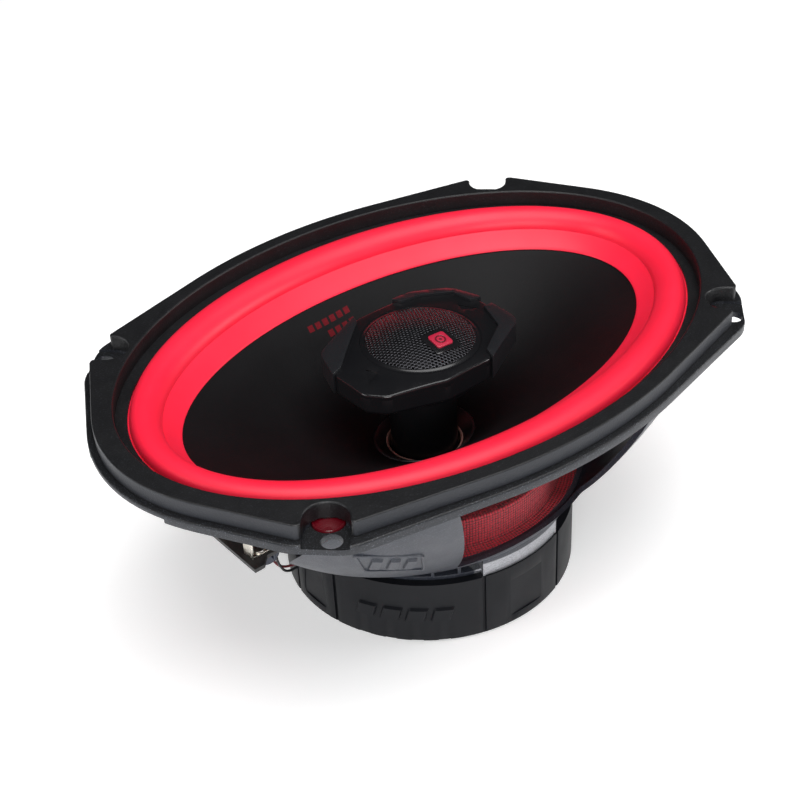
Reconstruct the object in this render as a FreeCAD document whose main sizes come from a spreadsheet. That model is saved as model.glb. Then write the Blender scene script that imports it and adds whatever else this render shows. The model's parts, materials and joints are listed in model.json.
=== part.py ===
import FreeCAD, Part

import math
import os
import re

import Sketcher

# Coaxial oval car speaker, 6 x 9 inch class, modelled piece by piece.
#
# Frame: millimetres, origin at the centre of the mounting plane (underside of
# the flange), +X along the long axis, +Y along the short axis, +Z towards the
# listener.

Vector = FreeCAD.Vector

SIZES = {
    # flange and its four mounting ears
    "flange_long_half": 118.2,
    "flange_short_half": 83.5,
    "flange_top": 3.0,
    "flange_recess_level": 1.2,
    "ear_side_along": 83.5,
    "ear_side_across": 68.9,
    "ear_end_along": 96.1,
    "ear_end_across": 56.1,
    "ear_rounding": 14.0,
    "flange_edge_round": 0.7,
    "flange_clearance": 0.3,
    "flange_opening_long": 102.5,
    "flange_opening_short": 68.5,
    "end_relief_half_width": 21.0,
    "end_relief_depth": 1.4,
    "screw_along": 85.0,
    "screw_across": 62.1,
    "screw_hole_radius": 3.2,
    # gasket ring
    "gasket_long_half": 115.9,
    "gasket_short_half": 81.1,
    "gasket_top": 8.5,
    "gasket_opening_long": 108.9,
    "gasket_opening_short": 75.6,
    "gasket_side_along": 79.3,
    "gasket_side_across": 66.2,
    "gasket_end_along": 93.3,
    "gasket_end_across": 55.8,
    "gasket_foot_long": 110.2,
    "gasket_foot_short": 76.9,
    "gasket_ledge_long": 105.2,
    "gasket_ledge_short": 71.4,
    "gasket_ledge_top": 2.7,
    "gasket_corner_round": 1.6,
    "gasket_edge_round": 0.55,
    "notch_along": 84.3,
    "notch_across": 59.25,
    "notch_radius": 6.9,
    "notch_mouth_round": 1.2,
    "notch_swing": 10.9,
    # surround and its four tongues
    "tongue_along": 80.3,
    "tongue_across": 54.5,
    "tongue_radius": 5.1,
    "lip_top": 2.0,
    "foot_long": 104.6,
    "foot_short": 70.8,
    "crest_level": 6.2,
    "valley_long": 94.9,
    "valley_short": 58.2,
    "valley_level": -0.3,
    "band_long": 89.5,
    "band_short": 51.2,
    "band_level": -5.1,
    # basket wall, windows, ledge and foot
    "wall_long": 109.0,
    "wall_short": 75.0,
    "wall_fullness": 2.35,
    "wall_upper_level": -14.0,
    "wall_upper_long": 98.0,
    "wall_upper_short": 71.0,
    "wall_upper_fullness": 2.5,
    "wall_lower_level": -38.0,
    "wall_lower_long": 77.4,
    "wall_lower_short": 60.4,
    "wall_lower_fullness": 2.45,
    "wall_thickness": 2.0,
    "wall_bottom_long": 59.5,
    "wall_bottom_short": 52.0,
    "ledge_bottom": -53.5,
    "ledge_top": -51.5,
    "ledge_bore": 38.0,
    "side_window_top_half": 46.5,
    "side_window_sill_half": 28.5,
    "side_window_sill": -50.5,
    "window_rounding": 2.2,
    "end_window_top_half": 59.0,
    "end_window_sill_half": 11.0,
    "end_window_sill": -49.5,
    "foot_bottom": -61.3,
    "foot_floor": -59.8,
    "foot_bore": 26.0,
    "foot_riser_radius": 43.0,
    "foot_rib_radius": 49.2,
    "foot_pad_radius": 51.4,
    "foot_riser_wall": 2.0,
    "foot_pad_side_half_angle": 19.0,
    "foot_pad_end_half_angle": 11.0,
    "rib_thickness": 1.1,
    "rib_azimuth": 41.5,
    "rib_pitch": 10.4,
    # motor
    "plate_radius": 48.8,
    "top_plate_bottom": -66.3,
    "top_plate_bore": 14.2,
    "magnet_radius": 48.0,
    "magnet_bore": 26.0,
    "magnet_bottom": -80.3,
    "yoke_bottom": -85.3,
    "pole_radius": 12.2,
    "pole_top": -60.8,
    "pole_bore": 6.2,
    "counterbore_radius": 9.6,
    "counterbore_depth": 2.5,
    "lead_slot_width": 2.6,
    "lead_slot_depth": 1.6,
    "lead_bend": 1.0,
    "foot_screw_spread": 24.0,
    "foot_screw_radius": 2.0,
    "foot_screw_head_radius": 3.6,
    "foot_screw_head_height": 2.0,
    # rubber boot
    "boot_radius": 52.0,
    "boot_inner_radius": 48.9,
    "boot_bottom": -87.2,
    "boot_top": -61.35,
    "boot_floor_bore": 14.0,
    "boot_edge_chamfer": 1.0,
    "boot_groove_width": 1.3,
    "boot_groove_depth": 0.8,
    "boot_relief_depth": 0.5,
    "boot_relief_low": -83.2,
    "boot_relief_high": -67.2,
    "boot_relief_rounding": 1.6,
    "boot_side_groove": 19.0,
    "boot_end_groove": 12.0,
    "boot_slot_half_width": 2.1,
    "boot_slot_height": 1.2,
    "boot_slot_depth": 1.3,
    "boot_slot_pitch": 10.3,
    # spider
    "spider_foot_long": 57.2,
    "spider_foot_short": 49.8,
    "spider_wall_radius": 46.6,
    "spider_top": -39.8,
    "spider_inner_level": -42.6,
    "spider_cloth": 0.6,
    "spider_shoulder": 2.0,
    "spider_wave_height": 1.1,
    # voice coil and cone
    "former_inner_radius": 12.75,
    "former_radius": 13.0,
    "former_top": -39.4,
    "former_bottom": -70.0,
    "winding_radius": 13.7,
    "winding_top": -57.6,
    "cone_rim_long": 94.0,
    "cone_rim_short": 57.1,
    "cone_rim_level": -1.35,
    "cone_band_level": -5.4,
    "cone_neck_level": -40.6,
    "cone_thickness": 0.6,
    "cone_bend": 0.85,
    "neck_ring_radius": 19.0,
    # tweeter post and its screw
    "post_radius": 11.7,
    "post_top": -12.5,
    "post_counterbore": 6.6,
    "post_counterbore_level": -20.5,
    "bolt_radius": 2.45,
    "bolt_top": -14.0,
    "bolt_head_radius": 4.6,
    "bolt_head_height": 2.9,
    "washer_radius": 9.2,
    "washer_thickness": 1.0,
    "insert_radius": 3.6,
    # tweeter pod
    "pod_half_length": 32.6,
    "pod_back": 25.2,
    "pod_front": -24.0,
    "pod_bottom": -7.2,
    "pod_split": -1.2,
    "pod_rim_level": 0.4,
    "pod_crown_level": 2.0,
    "pod_corner": 6.0,
    "pod_bottom_round": 1.4,
    "pod_top_round": 0.8,
    "triangle_depth": 0.5,
    "hub_radius": 18.6,
    "hub_bottom": -12.5,
    "hub_floor": -11.0,
    "boss_radius": 6.5,
    "boss_bottom": -20.0,
    "chamber_radius": 14.0,
    "claw_height": 1.1,
    "claw_wrap": 0.9,
    "claw_bottom": -6.4,
    # tweeter drive unit
    "cup_radius": 15.8,
    "cup_inner_radius": 13.4,
    "cup_bottom": -9.4,
    "cup_floor": -8.0,
    "cup_top": -3.0,
    "neo_radius": 11.5,
    "neo_top": -4.8,
    "pole_plate_radius": 12.0,
    "dome_radius": 12.5,
    "dome_base": -1.4,
    "dome_rise": 3.0,
    "dome_skin": 0.3,
    "dome_ring_radius": 18.8,
    "dome_roll_radius": 15.6,
    "grille_radius": 19.6,
    "grille_seat_radius": 20.4,
    "grille_rise": 4.0,
    "grille_skin": 0.5,
    "badge_along": 1.0,
    "badge_across": -9.3,
    "badge_turn": -3.0,
    "badge_half": 3.1,
    "badge_height": 0.9,
    "badge_frame_half": 4.9,
    "badge_frame_height": 0.5,
    # terminal board and leads
    "board_reach": 83.6,
    "board_half_width": 15.5,
    "board_neck_half_width": 12.4,
    "board_neck_reach": 79.8,
    "board_inner_reach": 51.8,
    "board_top": -40.0,
    "board_thickness": 1.6,
    "tab_thickness": 0.8,
    "tab_height": 9.5,
    "tab_foot": 11.0,
    "tab_spread": 9.0,
    "tab_hole_radius": 0.9,
    "tab_wide": 6.3,
    "tab_narrow": 4.8,
    "rivet_radius": 2.2,
    "rivet_height": 0.8,
    "board_screw_along": -54.4,
    "board_screw_across": 6.6,
    "board_screw_radius": 1.9,
    "board_screw_height": 1.2,
    "standoff_half": 2.0,
    "board_gap": 0.4,
    "capacitor_along": -72.5,
    "capacitor_radius": 4.0,
    "capacitor_half": 7.5,
    "capacitor_pin_radius": 0.4,
    "capacitor_pin_reach": 10.5,
    "lead_radius": 0.45,
    "tinsel_radius": 0.75,
    "eyelet_along": -38.4,
    "eyelet_across": 8.0,
    "eyelet_radius": 1.5,
    "eyelet_bottom": -30.0,
    "eyelet_top": -26.9,
}

doc = FreeCAD.newDocument("coaxial_speaker")
sheet = doc.addObject("Spreadsheet::Sheet", "Dim")
for row, (alias, number) in enumerate(SIZES.items(), start=1):
    sheet.set(f"A{row}", alias)
    sheet.set(f"B{row}", str(number))
    sheet.setAlias(f"B{row}", alias)
doc.recompute()

NODES = []


# ---------------------------------------------------------------- helpers
def bind(text):
    """Turn plain sheet words into an expression on the sheet."""
    return re.sub(r"[a-z_]{3,}", lambda word: f"Dim.{word.group(0)}", str(text))


def size(text):
    """The number that an expression on the sheet gives, in millimetres."""
    value = sheet.evalExpression(bind(text))
    return float(getattr(value, "Value", value))


def node(obj, label):
    """Name a finished sub-part and put it on the list of files to write."""
    obj.Label = label
    NODES.append(obj)
    return obj


def tie(obj, **formulas):
    """Bind properties of an object to the sheet."""
    for prop, formula in formulas.items():
        obj.setExpression(prop.replace("__", "."), bind(formula))
    return obj


def draw(body, role, outlines=(), circles=()):
    """Sketch closed outlines and circles with every coordinate bound to the sheet."""
    plane = [item for item in body.Origin.OriginFeatures if item.Role == role][0]
    sketch = body.newObject("Sketcher::SketchObject", "Sketch")
    sketch.AttachmentSupport = [(plane, "")]
    sketch.MapMode = "FlatFace"

    def pin(index, point, across, along):
        for kind, formula in (("DistanceX", across), ("DistanceY", along)):
            number = sketch.addConstraint(
                Sketcher.Constraint(kind, -1, 1, index, point, size(formula)))
            sketch.setExpression(f"Constraints[{number}]", bind(formula))

    for outline in outlines:
        first = sketch.GeometryCount
        corners = [Vector(size(across), size(along), 0) for across, along in outline]
        for index, corner in enumerate(corners):
            following = corners[(index + 1) % len(corners)]
            sketch.addGeometry(Part.LineSegment(corner, following))
        for index in range(len(corners)):
            following = first + (index + 1) % len(corners)
            sketch.addConstraint(
                Sketcher.Constraint("Coincident", first + index, 2, following, 1))
            pin(first + index, 1, *outline[index])
    for across, along, radius in circles:
        centre = Vector(size(across), size(along), 0)
        circle = Part.Circle(centre, Vector(0, 0, 1), size(radius))
        index = sketch.addGeometry(circle)
        pin(index, 3, across, along)
        number = sketch.addConstraint(Sketcher.Constraint("Radius", index, size(radius)))
        sketch.setExpression(f"Constraints[{number}]", bind(radius))
    return sketch


def turned(label, profile):
    """A piece turned about the Z axis from (radius, level) corners."""
    body = doc.addObject("PartDesign::Body", "Body")
    turn = body.newObject("PartDesign::Revolution", "Turn")
    turn.Profile = (draw(body, "XZ_Plane", [profile]), [""])
    turn.ReferenceAxis = (turn.Profile[0], ["V_Axis"])
    turn.Angle = 360
    return node(body, label)


def ring(label, inner, outer, low, high):
    return turned(label, [(inner, low), (outer, low), (outer, high), (inner, high)])


def padded(label, low, height, outlines=(), circles=()):
    """A flat piece padded upward from a level."""
    body = doc.addObject("PartDesign::Body", "Body")
    pad = body.newObject("PartDesign::Pad", "Pad")
    pad.Profile = (draw(body, "XY_Plane", outlines, circles), [""])
    tie(pad, Length=height)
    tie(body, Placement__Base__z=low)
    return node(body, label)


def pocket(body, low, high, outlines=(), circles=()):
    """Cut plan outlines and circles out of a body, and prove that it cut."""
    doc.recompute()
    before = body.Shape.Volume
    cut = body.newObject("PartDesign::Pocket", "Pocket")
    sketch = draw(body, "XY_Plane", outlines, circles)
    tie(sketch, AttachmentOffset__Base__z=high)
    cut.Profile = (sketch, [""])
    tie(cut, Length=f"{high} - ({low})")
    doc.recompute()
    if body.Shape.Volume > before - 0.01:
        raise RuntimeError(f"{body.Label}: the pocket removed nothing")
    return cut


def plain(label, shape):
    """A sub-part whose shape comes from the Part functions below."""
    feature = doc.addObject("Part::Feature", "Shape")
    feature.Shape = shape
    feature.Placement = FreeCAD.Placement()
    return node(feature, label)


def cylinder(radius, low, high, along=0.0, across=0.0):
    return Part.makeCylinder(radius, high - low, Vector(along, across, low))


def prism(points, low, high):
    """Extrude a plan outline between two levels."""
    corners = [Vector(along, across, low) for along, across in points]
    face = Part.Face(Part.makePolygon(corners + corners[:1]))
    return face.extrude(Vector(0, 0, high - low))


def oval(long_half, short_half, low, high):
    """An upright elliptical block."""
    edge = Part.Ellipse(Vector(0, 0, low), long_half, short_half).toShape()
    return Part.Face(Part.Wire(edge)).extrude(Vector(0, 0, high - low))


def four_corners(along, across):
    return [(sx * along, sy * across) for sx in (1, -1) for sy in (1, -1)]


def block(x_range, y_range, z_range):
    low = Vector(x_range[0], y_range[0], z_range[0])
    return Part.makeBox(x_range[1] - x_range[0], y_range[1] - y_range[0],
                        z_range[1] - z_range[0], low)


def fused(shapes):
    return shapes[0].multiFuse(shapes[1:]).removeSplitter()


def turn_z(shape, degrees):
    copy = shape.copy()
    copy.rotate(Vector(), Vector(0, 0, 1), degrees)
    return copy


def upright_edges(shape, points, reach=0.3):
    """The upright edges that stand at the given plan points."""
    found = []
    for edge in shape.Edges:
        start, end = edge.Vertexes[0].Point, edge.Vertexes[-1].Point
        if math.hypot(start.x - end.x, start.y - end.y) > 1e-4 or edge.Length < 0.5:
            continue
        if any(math.hypot(start.x - x, start.y - y) < reach for x, y in points):
            found.append(edge)
    return found


def edges_at(shape, level):
    """Every edge that lies wholly in one level plane."""
    return [edge for edge in shape.Edges
            if all(abs(point.z - level) < 1e-3 for point in edge.discretize(5))]


# ------------------------------------------- outline shared by flange and gasket
def eared_block(name, low, high, ear, rounding):
    """An oval whose outline runs straight from its sides out to four ears."""
    long_half, short_half = size(f"{name}_long_half"), size(f"{name}_short_half")
    side = (size(f"{ear}_side_along"), size(f"{ear}_side_across"))
    end = (size(f"{ear}_end_along"), size(f"{ear}_end_across"))

    def tangent(corner, sense):
        along, across = corner[0] / long_half, corner[1] / short_half
        angle = math.atan2(across, along) + sense * math.acos(1 / math.hypot(along, across))
        return long_half * math.cos(angle), short_half * math.sin(angle)

    quarter = [tangent(end, -1), end, side, tangent(side, 1)]
    points = []
    for sx, sy, order in ((1, 1, 1), (-1, 1, -1), (-1, -1, 1), (1, -1, -1)):
        points += [(sx * x, sy * y) for x, y in quarter[::order]]
    shape = fused([oval(long_half, short_half, low, high), prism(points, low, high)])
    corners = four_corners(*side) + four_corners(*end)
    return shape.makeFillet(rounding, upright_edges(shape, corners))


# ------------------------------------------------------------------ basket
def full_oval(long_half, short_half, fullness, level):
    """A closed smooth oval, fuller than an ellipse when fullness is over 2."""
    count = 36
    points = []
    for step in range(count):
        turn = 2 * math.pi * step / count
        angle = math.atan2(short_half * math.sin(turn), long_half * math.cos(turn))
        reach = (abs(math.cos(angle) / long_half) ** fullness
                 + abs(math.sin(angle) / short_half) ** fullness) ** (-1 / fullness)
        points.append(Vector(reach * math.cos(angle), reach * math.sin(angle), level))
    curve = Part.BSplineCurve()
    curve.interpolate(Points=points, PeriodicFlag=True)
    return Part.Wire(curve.toShape())


def wall_solid(inset):
    """The basket's tapering wall as a filled solid, drawn in by an inset."""
    sections = [full_oval(size("wall_long") - inset, size("wall_short") - inset,
                          size("wall_fullness"), 0.0)]
    for name in ("wall_upper", "wall_lower"):
        sections.append(full_oval(size(f"{name}_long") - inset, size(f"{name}_short") - inset,
                                  size(f"{name}_fullness"), size(f"{name}_level")))
    sections.append(full_oval(size("wall_bottom_long") - inset,
                              size("wall_bottom_short") - inset, 2.0, size("ledge_bottom")))
    return Part.makeLoft(sections, True, False)


def window_cutter(name, reach):
    """A wedge, wide at the flange and narrow at its sill, that runs along Y."""
    top_half, sill_half = size(f"{name}_top_half"), size(f"{name}_sill_half")
    sill = size(f"{name}_sill")
    corners = [(-top_half, 0), (top_half, 0), (sill_half, sill), (-sill_half, sill)]
    wire = Part.makePolygon([Vector(x, -reach, z) for x, z in corners + corners[:1]])
    wedge = Part.Face(wire).extrude(Vector(0, 2 * reach, 0))
    long_edges = [edge for edge in wedge.Edges if abs(edge.Length - 2 * reach) < 1e-3]
    return wedge.makeFillet(size("window_rounding"), long_edges)


def sector(radius_in, radius_out, low, high, middle, half_angle):
    """A piece of a ring, centred on an azimuth in degrees."""
    outer = Part.makeCylinder(radius_out, high - low, Vector(0, 0, low),
                              Vector(0, 0, 1), 2 * half_angle)
    inner = cylinder(radius_in, low - 1, high + 1)
    return turn_z(outer, middle - half_angle).cut(inner)


def flange_plate():
    plate = eared_block("flange", 0.0, size("flange_top"), "ear", size("ear_rounding"))
    top_edges = edges_at(plate, size("flange_top"))
    plate = plate.makeFillet(size("flange_edge_round"), top_edges)
    recess = size("flange_recess_level")
    above = size("flange_top") + 1
    cutters = [oval(size("flange_opening_long"), size("flange_opening_short"), -1, above),
               oval(size("gasket_foot_long + flange_clearance"),
                    size("gasket_foot_short + flange_clearance"), recess, above)]
    for along, across in four_corners(size("tongue_along"), size("tongue_across")):
        cutters.append(cylinder(size("tongue_radius") + 0.2, recess, above, along, across))
    for along, across in four_corners(size("screw_along"), size("screw_across")):
        cutters.append(cylinder(size("screw_hole_radius"), -1, above, along, across))
    cutters += [notch_cutter(turn_x, turn_y)[0] for turn_x, turn_y in four_corners(1, 1)]
    half = size("end_relief_half_width")
    depth = size("end_relief_depth")
    inner, outer = size("wall_long") + 3.4, size("flange_long_half") + 2
    for sign in (1, -1):
        span = sorted((sign * inner, sign * outer))
        cutters.append(block(span, (-half, half), (-1, depth)))
    for cutter in cutters:
        plate = plate.cut(cutter)
    return plate


def basket():
    floor, ledge = size("ledge_bottom"), size("ledge_top")
    wall = wall_solid(0.0).cut(wall_solid(size("wall_thickness")))
    reach = size("flange_long_half") + 5
    wall = wall.cut(window_cutter("side_window", reach))
    wall = wall.cut(turn_z(window_cutter("end_window", reach), 90))
    ledge_ring = oval(size("wall_bottom_long") - 0.6, size("wall_bottom_short") - 0.6,
                      floor, ledge).cut(cylinder(size("ledge_bore"), floor - 1, ledge + 1))
    foot_low, foot_floor = size("foot_bottom"), size("foot_floor")
    riser = size("foot_riser_radius")
    rib_reach = size("foot_rib_radius")
    foot = cylinder(rib_reach, foot_low, foot_floor).cut(
        cylinder(size("foot_bore"), foot_low - 1, foot_floor + 1))
    riser_ring = cylinder(riser, foot_low, floor + 0.5).cut(
        cylinder(riser - size("foot_riser_wall"), foot_low - 1, floor + 1))
    pieces = [flange_plate(), wall, ledge_ring, foot, riser_ring]
    side_half = size("foot_pad_side_half_angle")
    end_half = size("foot_pad_end_half_angle")
    for middle, half_angle in ((90, side_half), (-90, side_half), (0, end_half),
                               (180, end_half)):
        pieces.append(sector(riser - 1, size("foot_pad_radius"), foot_low, floor + 0.5,
                             middle, half_angle))
    half = size("rib_thickness") / 2
    rib = block((riser - 1, rib_reach), (-half, half), (foot_floor - 0.5, floor + 0.5))
    arm = size("rib_azimuth")
    for middle in (arm, 180 - arm, arm - 180, -arm):
        for step in range(-2, 3):
            pieces.append(turn_z(rib, middle + size("rib_pitch") * step))
    body = fused(pieces)
    spread, hole = size("foot_screw_spread"), size("foot_screw_radius") + 0.1
    for along, across in four_corners(spread, spread):
        body = body.cut(cylinder(hole, foot_low - 1, foot_floor + 1, along, across))
    return plain("basket", body)


def basket_screws():
    """Four short screws that hold the basket's foot to the top plate."""
    screws = []
    spread, floor = size("foot_screw_spread"), size("foot_floor")
    for along, across in four_corners(spread, spread):
        head = cylinder(size("foot_screw_head_radius"), floor,
                        floor + size("foot_screw_head_height"), along, across)
        shank = cylinder(size("foot_screw_radius"), size("top_plate_bottom") + 1.0, floor,
                         along, across)
        screws.append(head.fuse(shank))
    return plain("basket_screws", Part.makeCompound(screws))


# ------------------------------------------------------------------ gasket
def notch_cutter(turn_x, turn_y):
    """A U cut from an ear's edge in to a round end, and its two mouth points in plan."""
    radius, low, high = size("notch_radius"), size("lip_top"), size("gasket_top") + 1
    along, across = size("notch_along"), size("notch_across")
    direction = math.atan2(across, along) + math.radians(size("notch_swing"))
    ux, uy = math.cos(direction), math.sin(direction)
    side = (size("gasket_side_along"), size("gasket_side_across"))
    end = (size("gasket_end_along"), size("gasket_end_across"))
    edge_x, edge_y = end[0] - side[0], end[1] - side[1]
    outline, mouth = [], []
    for sign in (1, -1):
        x, y = along + sign * radius * uy, across - sign * radius * ux
        reach = (edge_x * (side[1] - y) - edge_y * (side[0] - x)) / (edge_x * uy - edge_y * ux)
        mouth.append((turn_x * (x + reach * ux), turn_y * (y + reach * uy)))
        run = [(turn_x * x, turn_y * y), (turn_x * (x + 20 * ux), turn_y * (y + 20 * uy))]
        outline += run[::sign]
    round_end = cylinder(radius, low, high, turn_x * along, turn_y * across)
    return round_end.fuse(prism(outline, low, high)), mouth


def gasket():
    low, top = size("flange_top"), size("gasket_top")
    ring_shape = eared_block("gasket", low, top, "gasket",
                             size("gasket_corner_round"))
    mouths = []
    for turn_x, turn_y in four_corners(1, 1):
        notch, mouth = notch_cutter(turn_x, turn_y)
        ring_shape = ring_shape.cut(notch)
        mouths += mouth
    ring_shape = ring_shape.makeFillet(size("notch_mouth_round"),
                                       upright_edges(ring_shape, mouths))
    opening = oval(size("gasket_opening_long"), size("gasket_opening_short"), low - 1, top + 1)
    ring_shape = ring_shape.cut(opening)
    ring_shape = ring_shape.makeFillet(size("gasket_edge_round"), edges_at(ring_shape, top))
    foot_low, ledge_top = size("lip_top"), size("gasket_ledge_top")
    foot_long, foot_short = size("gasket_foot_long"), size("gasket_foot_short")
    ledge = oval(foot_long, foot_short, foot_low, ledge_top)
    ledge = ledge.cut(oval(size("gasket_ledge_long"), size("gasket_ledge_short"), 0, low))
    foot = oval(foot_long, foot_short, foot_low, low).cut(opening)
    return plain("gasket", fused([ring_shape, ledge, foot]))


# --------------------------------------------------- cone, surround and spider
def oval_edge(long_half, short_half, level):
    centre = Vector(0, 0, level)
    if long_half - short_half > 1e-6:
        return Part.Ellipse(centre, long_half, short_half).toShape()
    return Part.Circle(centre, Vector(0, 0, 1), long_half).toShape()


def oval_ring(profile):
    """A closed oval ring through a profile of (long half, short half, level) corners."""
    edges = [oval_edge(*corner) for corner in profile]
    faces = [Part.makeRuledSurface(edge, edges[(index + 1) % len(edges)])
             for index, edge in enumerate(edges)]
    shell = Part.makeShell(faces)
    shell.sewShape()
    solid = Part.makeSolid(shell)
    if solid.Volume < 0:
        solid.reverse()
    return solid


def cone_face(share, drop=0.0):
    """One oval of the cone, a share of the way from its neck to the glued band."""
    neck = size("former_radius")
    low, high = size("cone_neck_level"), size("cone_band_level")
    return (neck + (size("band_long") - neck) * share,
            neck + (size("band_short") - neck) * share,
            low + (high - low) * share ** size("cone_bend") - drop)


def cone():
    """A thin paper shell, steeper at its neck, with a rim that the surround is glued to."""
    shares = [step / 10 for step in range(11)]
    thick = size("cone_thickness")
    rim = (size("cone_rim_long"), size("cone_rim_short"))
    upper = [cone_face(share) for share in shares] + [(*rim, size("cone_rim_level"))]
    lower = [(*rim, size("cone_rim_level") - thick)]
    lower += [cone_face(share, thick) for share in reversed(shares)]
    return plain("cone", oval_ring(upper + lower))


def neck_ring():
    """The glued step ring round the neck, lying on the cone."""
    neck = size("former_radius")
    share = (size("neck_ring_radius") - neck) / (size("band_long") - neck)
    seat = cone_face(share)
    steps = [(neck, neck, size("cone_neck_level")),
             cone_face(share / 2), seat,
             (seat[0] - 0.8, seat[1] - 0.5, seat[2] + 0.5),
             (neck, neck, size("cone_neck_level") + 1.0)]
    return plain("neck_ring", oval_ring(steps))


def roll(share, drop=0.0):
    """One oval of the half roll, a share of the way from its valley to its foot."""
    inner = (size("valley_long"), size("valley_short"), size("valley_level") + 0.7)
    outer = (size("foot_long"), size("foot_short"), size("lip_top"))
    angle = math.pi * share
    middle = [(a + b) / 2 for a, b in zip(inner, outer)]
    lean = [(b - a) / 2 for a, b in zip(inner, outer)]
    rise = size("crest_level") - middle[2]
    long_half = middle[0] - lean[0] * math.cos(angle)
    short_half = middle[1] - lean[1] * math.cos(angle)
    level = middle[2] - lean[2] * math.cos(angle) + rise * math.sin(angle)
    return long_half, short_half, level - drop


def surround():
    """Glued band, half roll and flat lip in one soft ring, with four tongues."""
    thick = size("lip_top") - size("flange_recess_level")
    shares = [step / 8 for step in range(1, 8)]
    band = (size("band_long"), size("band_short"), size("band_level"))
    band_top = (band[0], band[1], band[2] + 0.5)
    valley = (size("valley_long"), size("valley_short"), size("valley_level"))
    lip = (size("gasket_foot_long"), size("gasket_foot_short"))
    foot = (size("foot_long"), size("foot_short"))
    upper = [band_top, (valley[0], valley[1], valley[2] + 0.7)]
    upper += [roll(share) for share in shares]
    upper += [(*foot, size("lip_top")), (*lip, size("lip_top"))]
    lower = [(*lip, size("lip_top") - thick), (*foot, size("lip_top") - thick)]
    lower += [roll(share, thick) for share in reversed(shares)]
    lower += [valley, band]
    low, high = size("flange_recess_level"), size("lip_top")
    hole = oval(size("foot_long") + 1, size("foot_short") + 1, low - 1, high + 1)
    tongues = [cylinder(size("tongue_radius"), low, high, along, across).cut(hole)
               for along, across in four_corners(size("tongue_along"), size("tongue_across"))]
    return plain("surround", oval_ring(upper + lower).multiFuse(tongues))


def spider():
    """Cup of woven cloth: a flat oval foot, cut back round the board's standoffs, an
    upright wall and a ribbed disc to the former."""
    wall = size("spider_wall_radius")
    top, inner_level = size("spider_top"), size("spider_inner_level")
    inner, cloth = size("former_radius"), size("spider_cloth")
    floor = size("ledge_top")
    waves, wave_height = 6, size("spider_wave_height")
    crown = wall - size("spider_shoulder")
    face = [(wall, top - 1.0), (crown, top)]
    for step in range(1, 2 * waves):
        share = step / (2 * waves)
        level = top - 1.4 + (inner_level - top + 1.4) * share
        level += wave_height if step % 2 == 0 else -wave_height
        face.append((crown + (inner + 2 - crown) * share, level))
    face += [(inner + 2, inner_level), (inner, inner_level)]
    back = [(radius, level - cloth) for radius, level in reversed(face[1:])]
    outline = [(wall, floor)] + face + back
    outline += [(wall - cloth, top - 1.0 - cloth), (wall - cloth, floor), (wall, floor)]
    profile = Part.makePolygon([Vector(radius, 0, level) for radius, level in outline])
    cup = Part.Face(profile).revolve(Vector(), Vector(0, 0, 1), 360)
    foot = oval(size("spider_foot_long"), size("spider_foot_short"), floor, floor + cloth)
    foot = foot.cut(cylinder(wall - cloth / 2, floor - 1, floor + cloth + 1))
    clear = size("standoff_half + board_gap")
    across = size("board_screw_across") + clear
    foot = foot.cut(block((-size("spider_foot_long") - 1, size("board_screw_along") + clear),
                          (-across, across), (floor - 1, floor + cloth + 1)))
    return plain("spider", cup.fuse(foot))


def voice_coil():
    low, high = "former_bottom", "former_top"
    ring("voice_coil_former", "former_inner_radius", "former_radius", low, high)
    ring("voice_coil_winding", "former_radius", "winding_radius", low, "winding_top")


# ------------------------------------------------------------------- motor
def motor():
    notch = [("-plate_radius - 1", "-lead_slot_width / 2"),
             ("-pole_bore + 1", "-lead_slot_width / 2"),
             ("-pole_bore + 1", "lead_slot_width / 2"),
             ("-plate_radius - 1", "lead_slot_width / 2")]
    top_plate = ring("top_plate", "top_plate_bore", "plate_radius", "top_plate_bottom",
                     "foot_bottom")
    pocket(top_plate, "top_plate_bottom", "foot_bottom",
           circles=[(f"{sx} * foot_screw_spread", f"{sy} * foot_screw_spread",
                     "foot_screw_radius") for sx in (1, -1) for sy in (1, -1)])
    ring("ferrite_magnet", "magnet_bore", "magnet_radius", "magnet_bottom",
         "top_plate_bottom")
    sink = "yoke_bottom + counterbore_depth"
    yoke = turned("t_yoke", [
        ("counterbore_radius", "yoke_bottom"), ("plate_radius", "yoke_bottom"),
        ("plate_radius", "magnet_bottom"), ("pole_radius", "magnet_bottom"),
        ("pole_radius", "pole_top"), ("pole_bore", "pole_top"),
        ("pole_bore", sink), ("counterbore_radius", sink)])
    pocket(yoke, "magnet_bottom - lead_slot_depth", "magnet_bottom", outlines=[notch])


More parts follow.
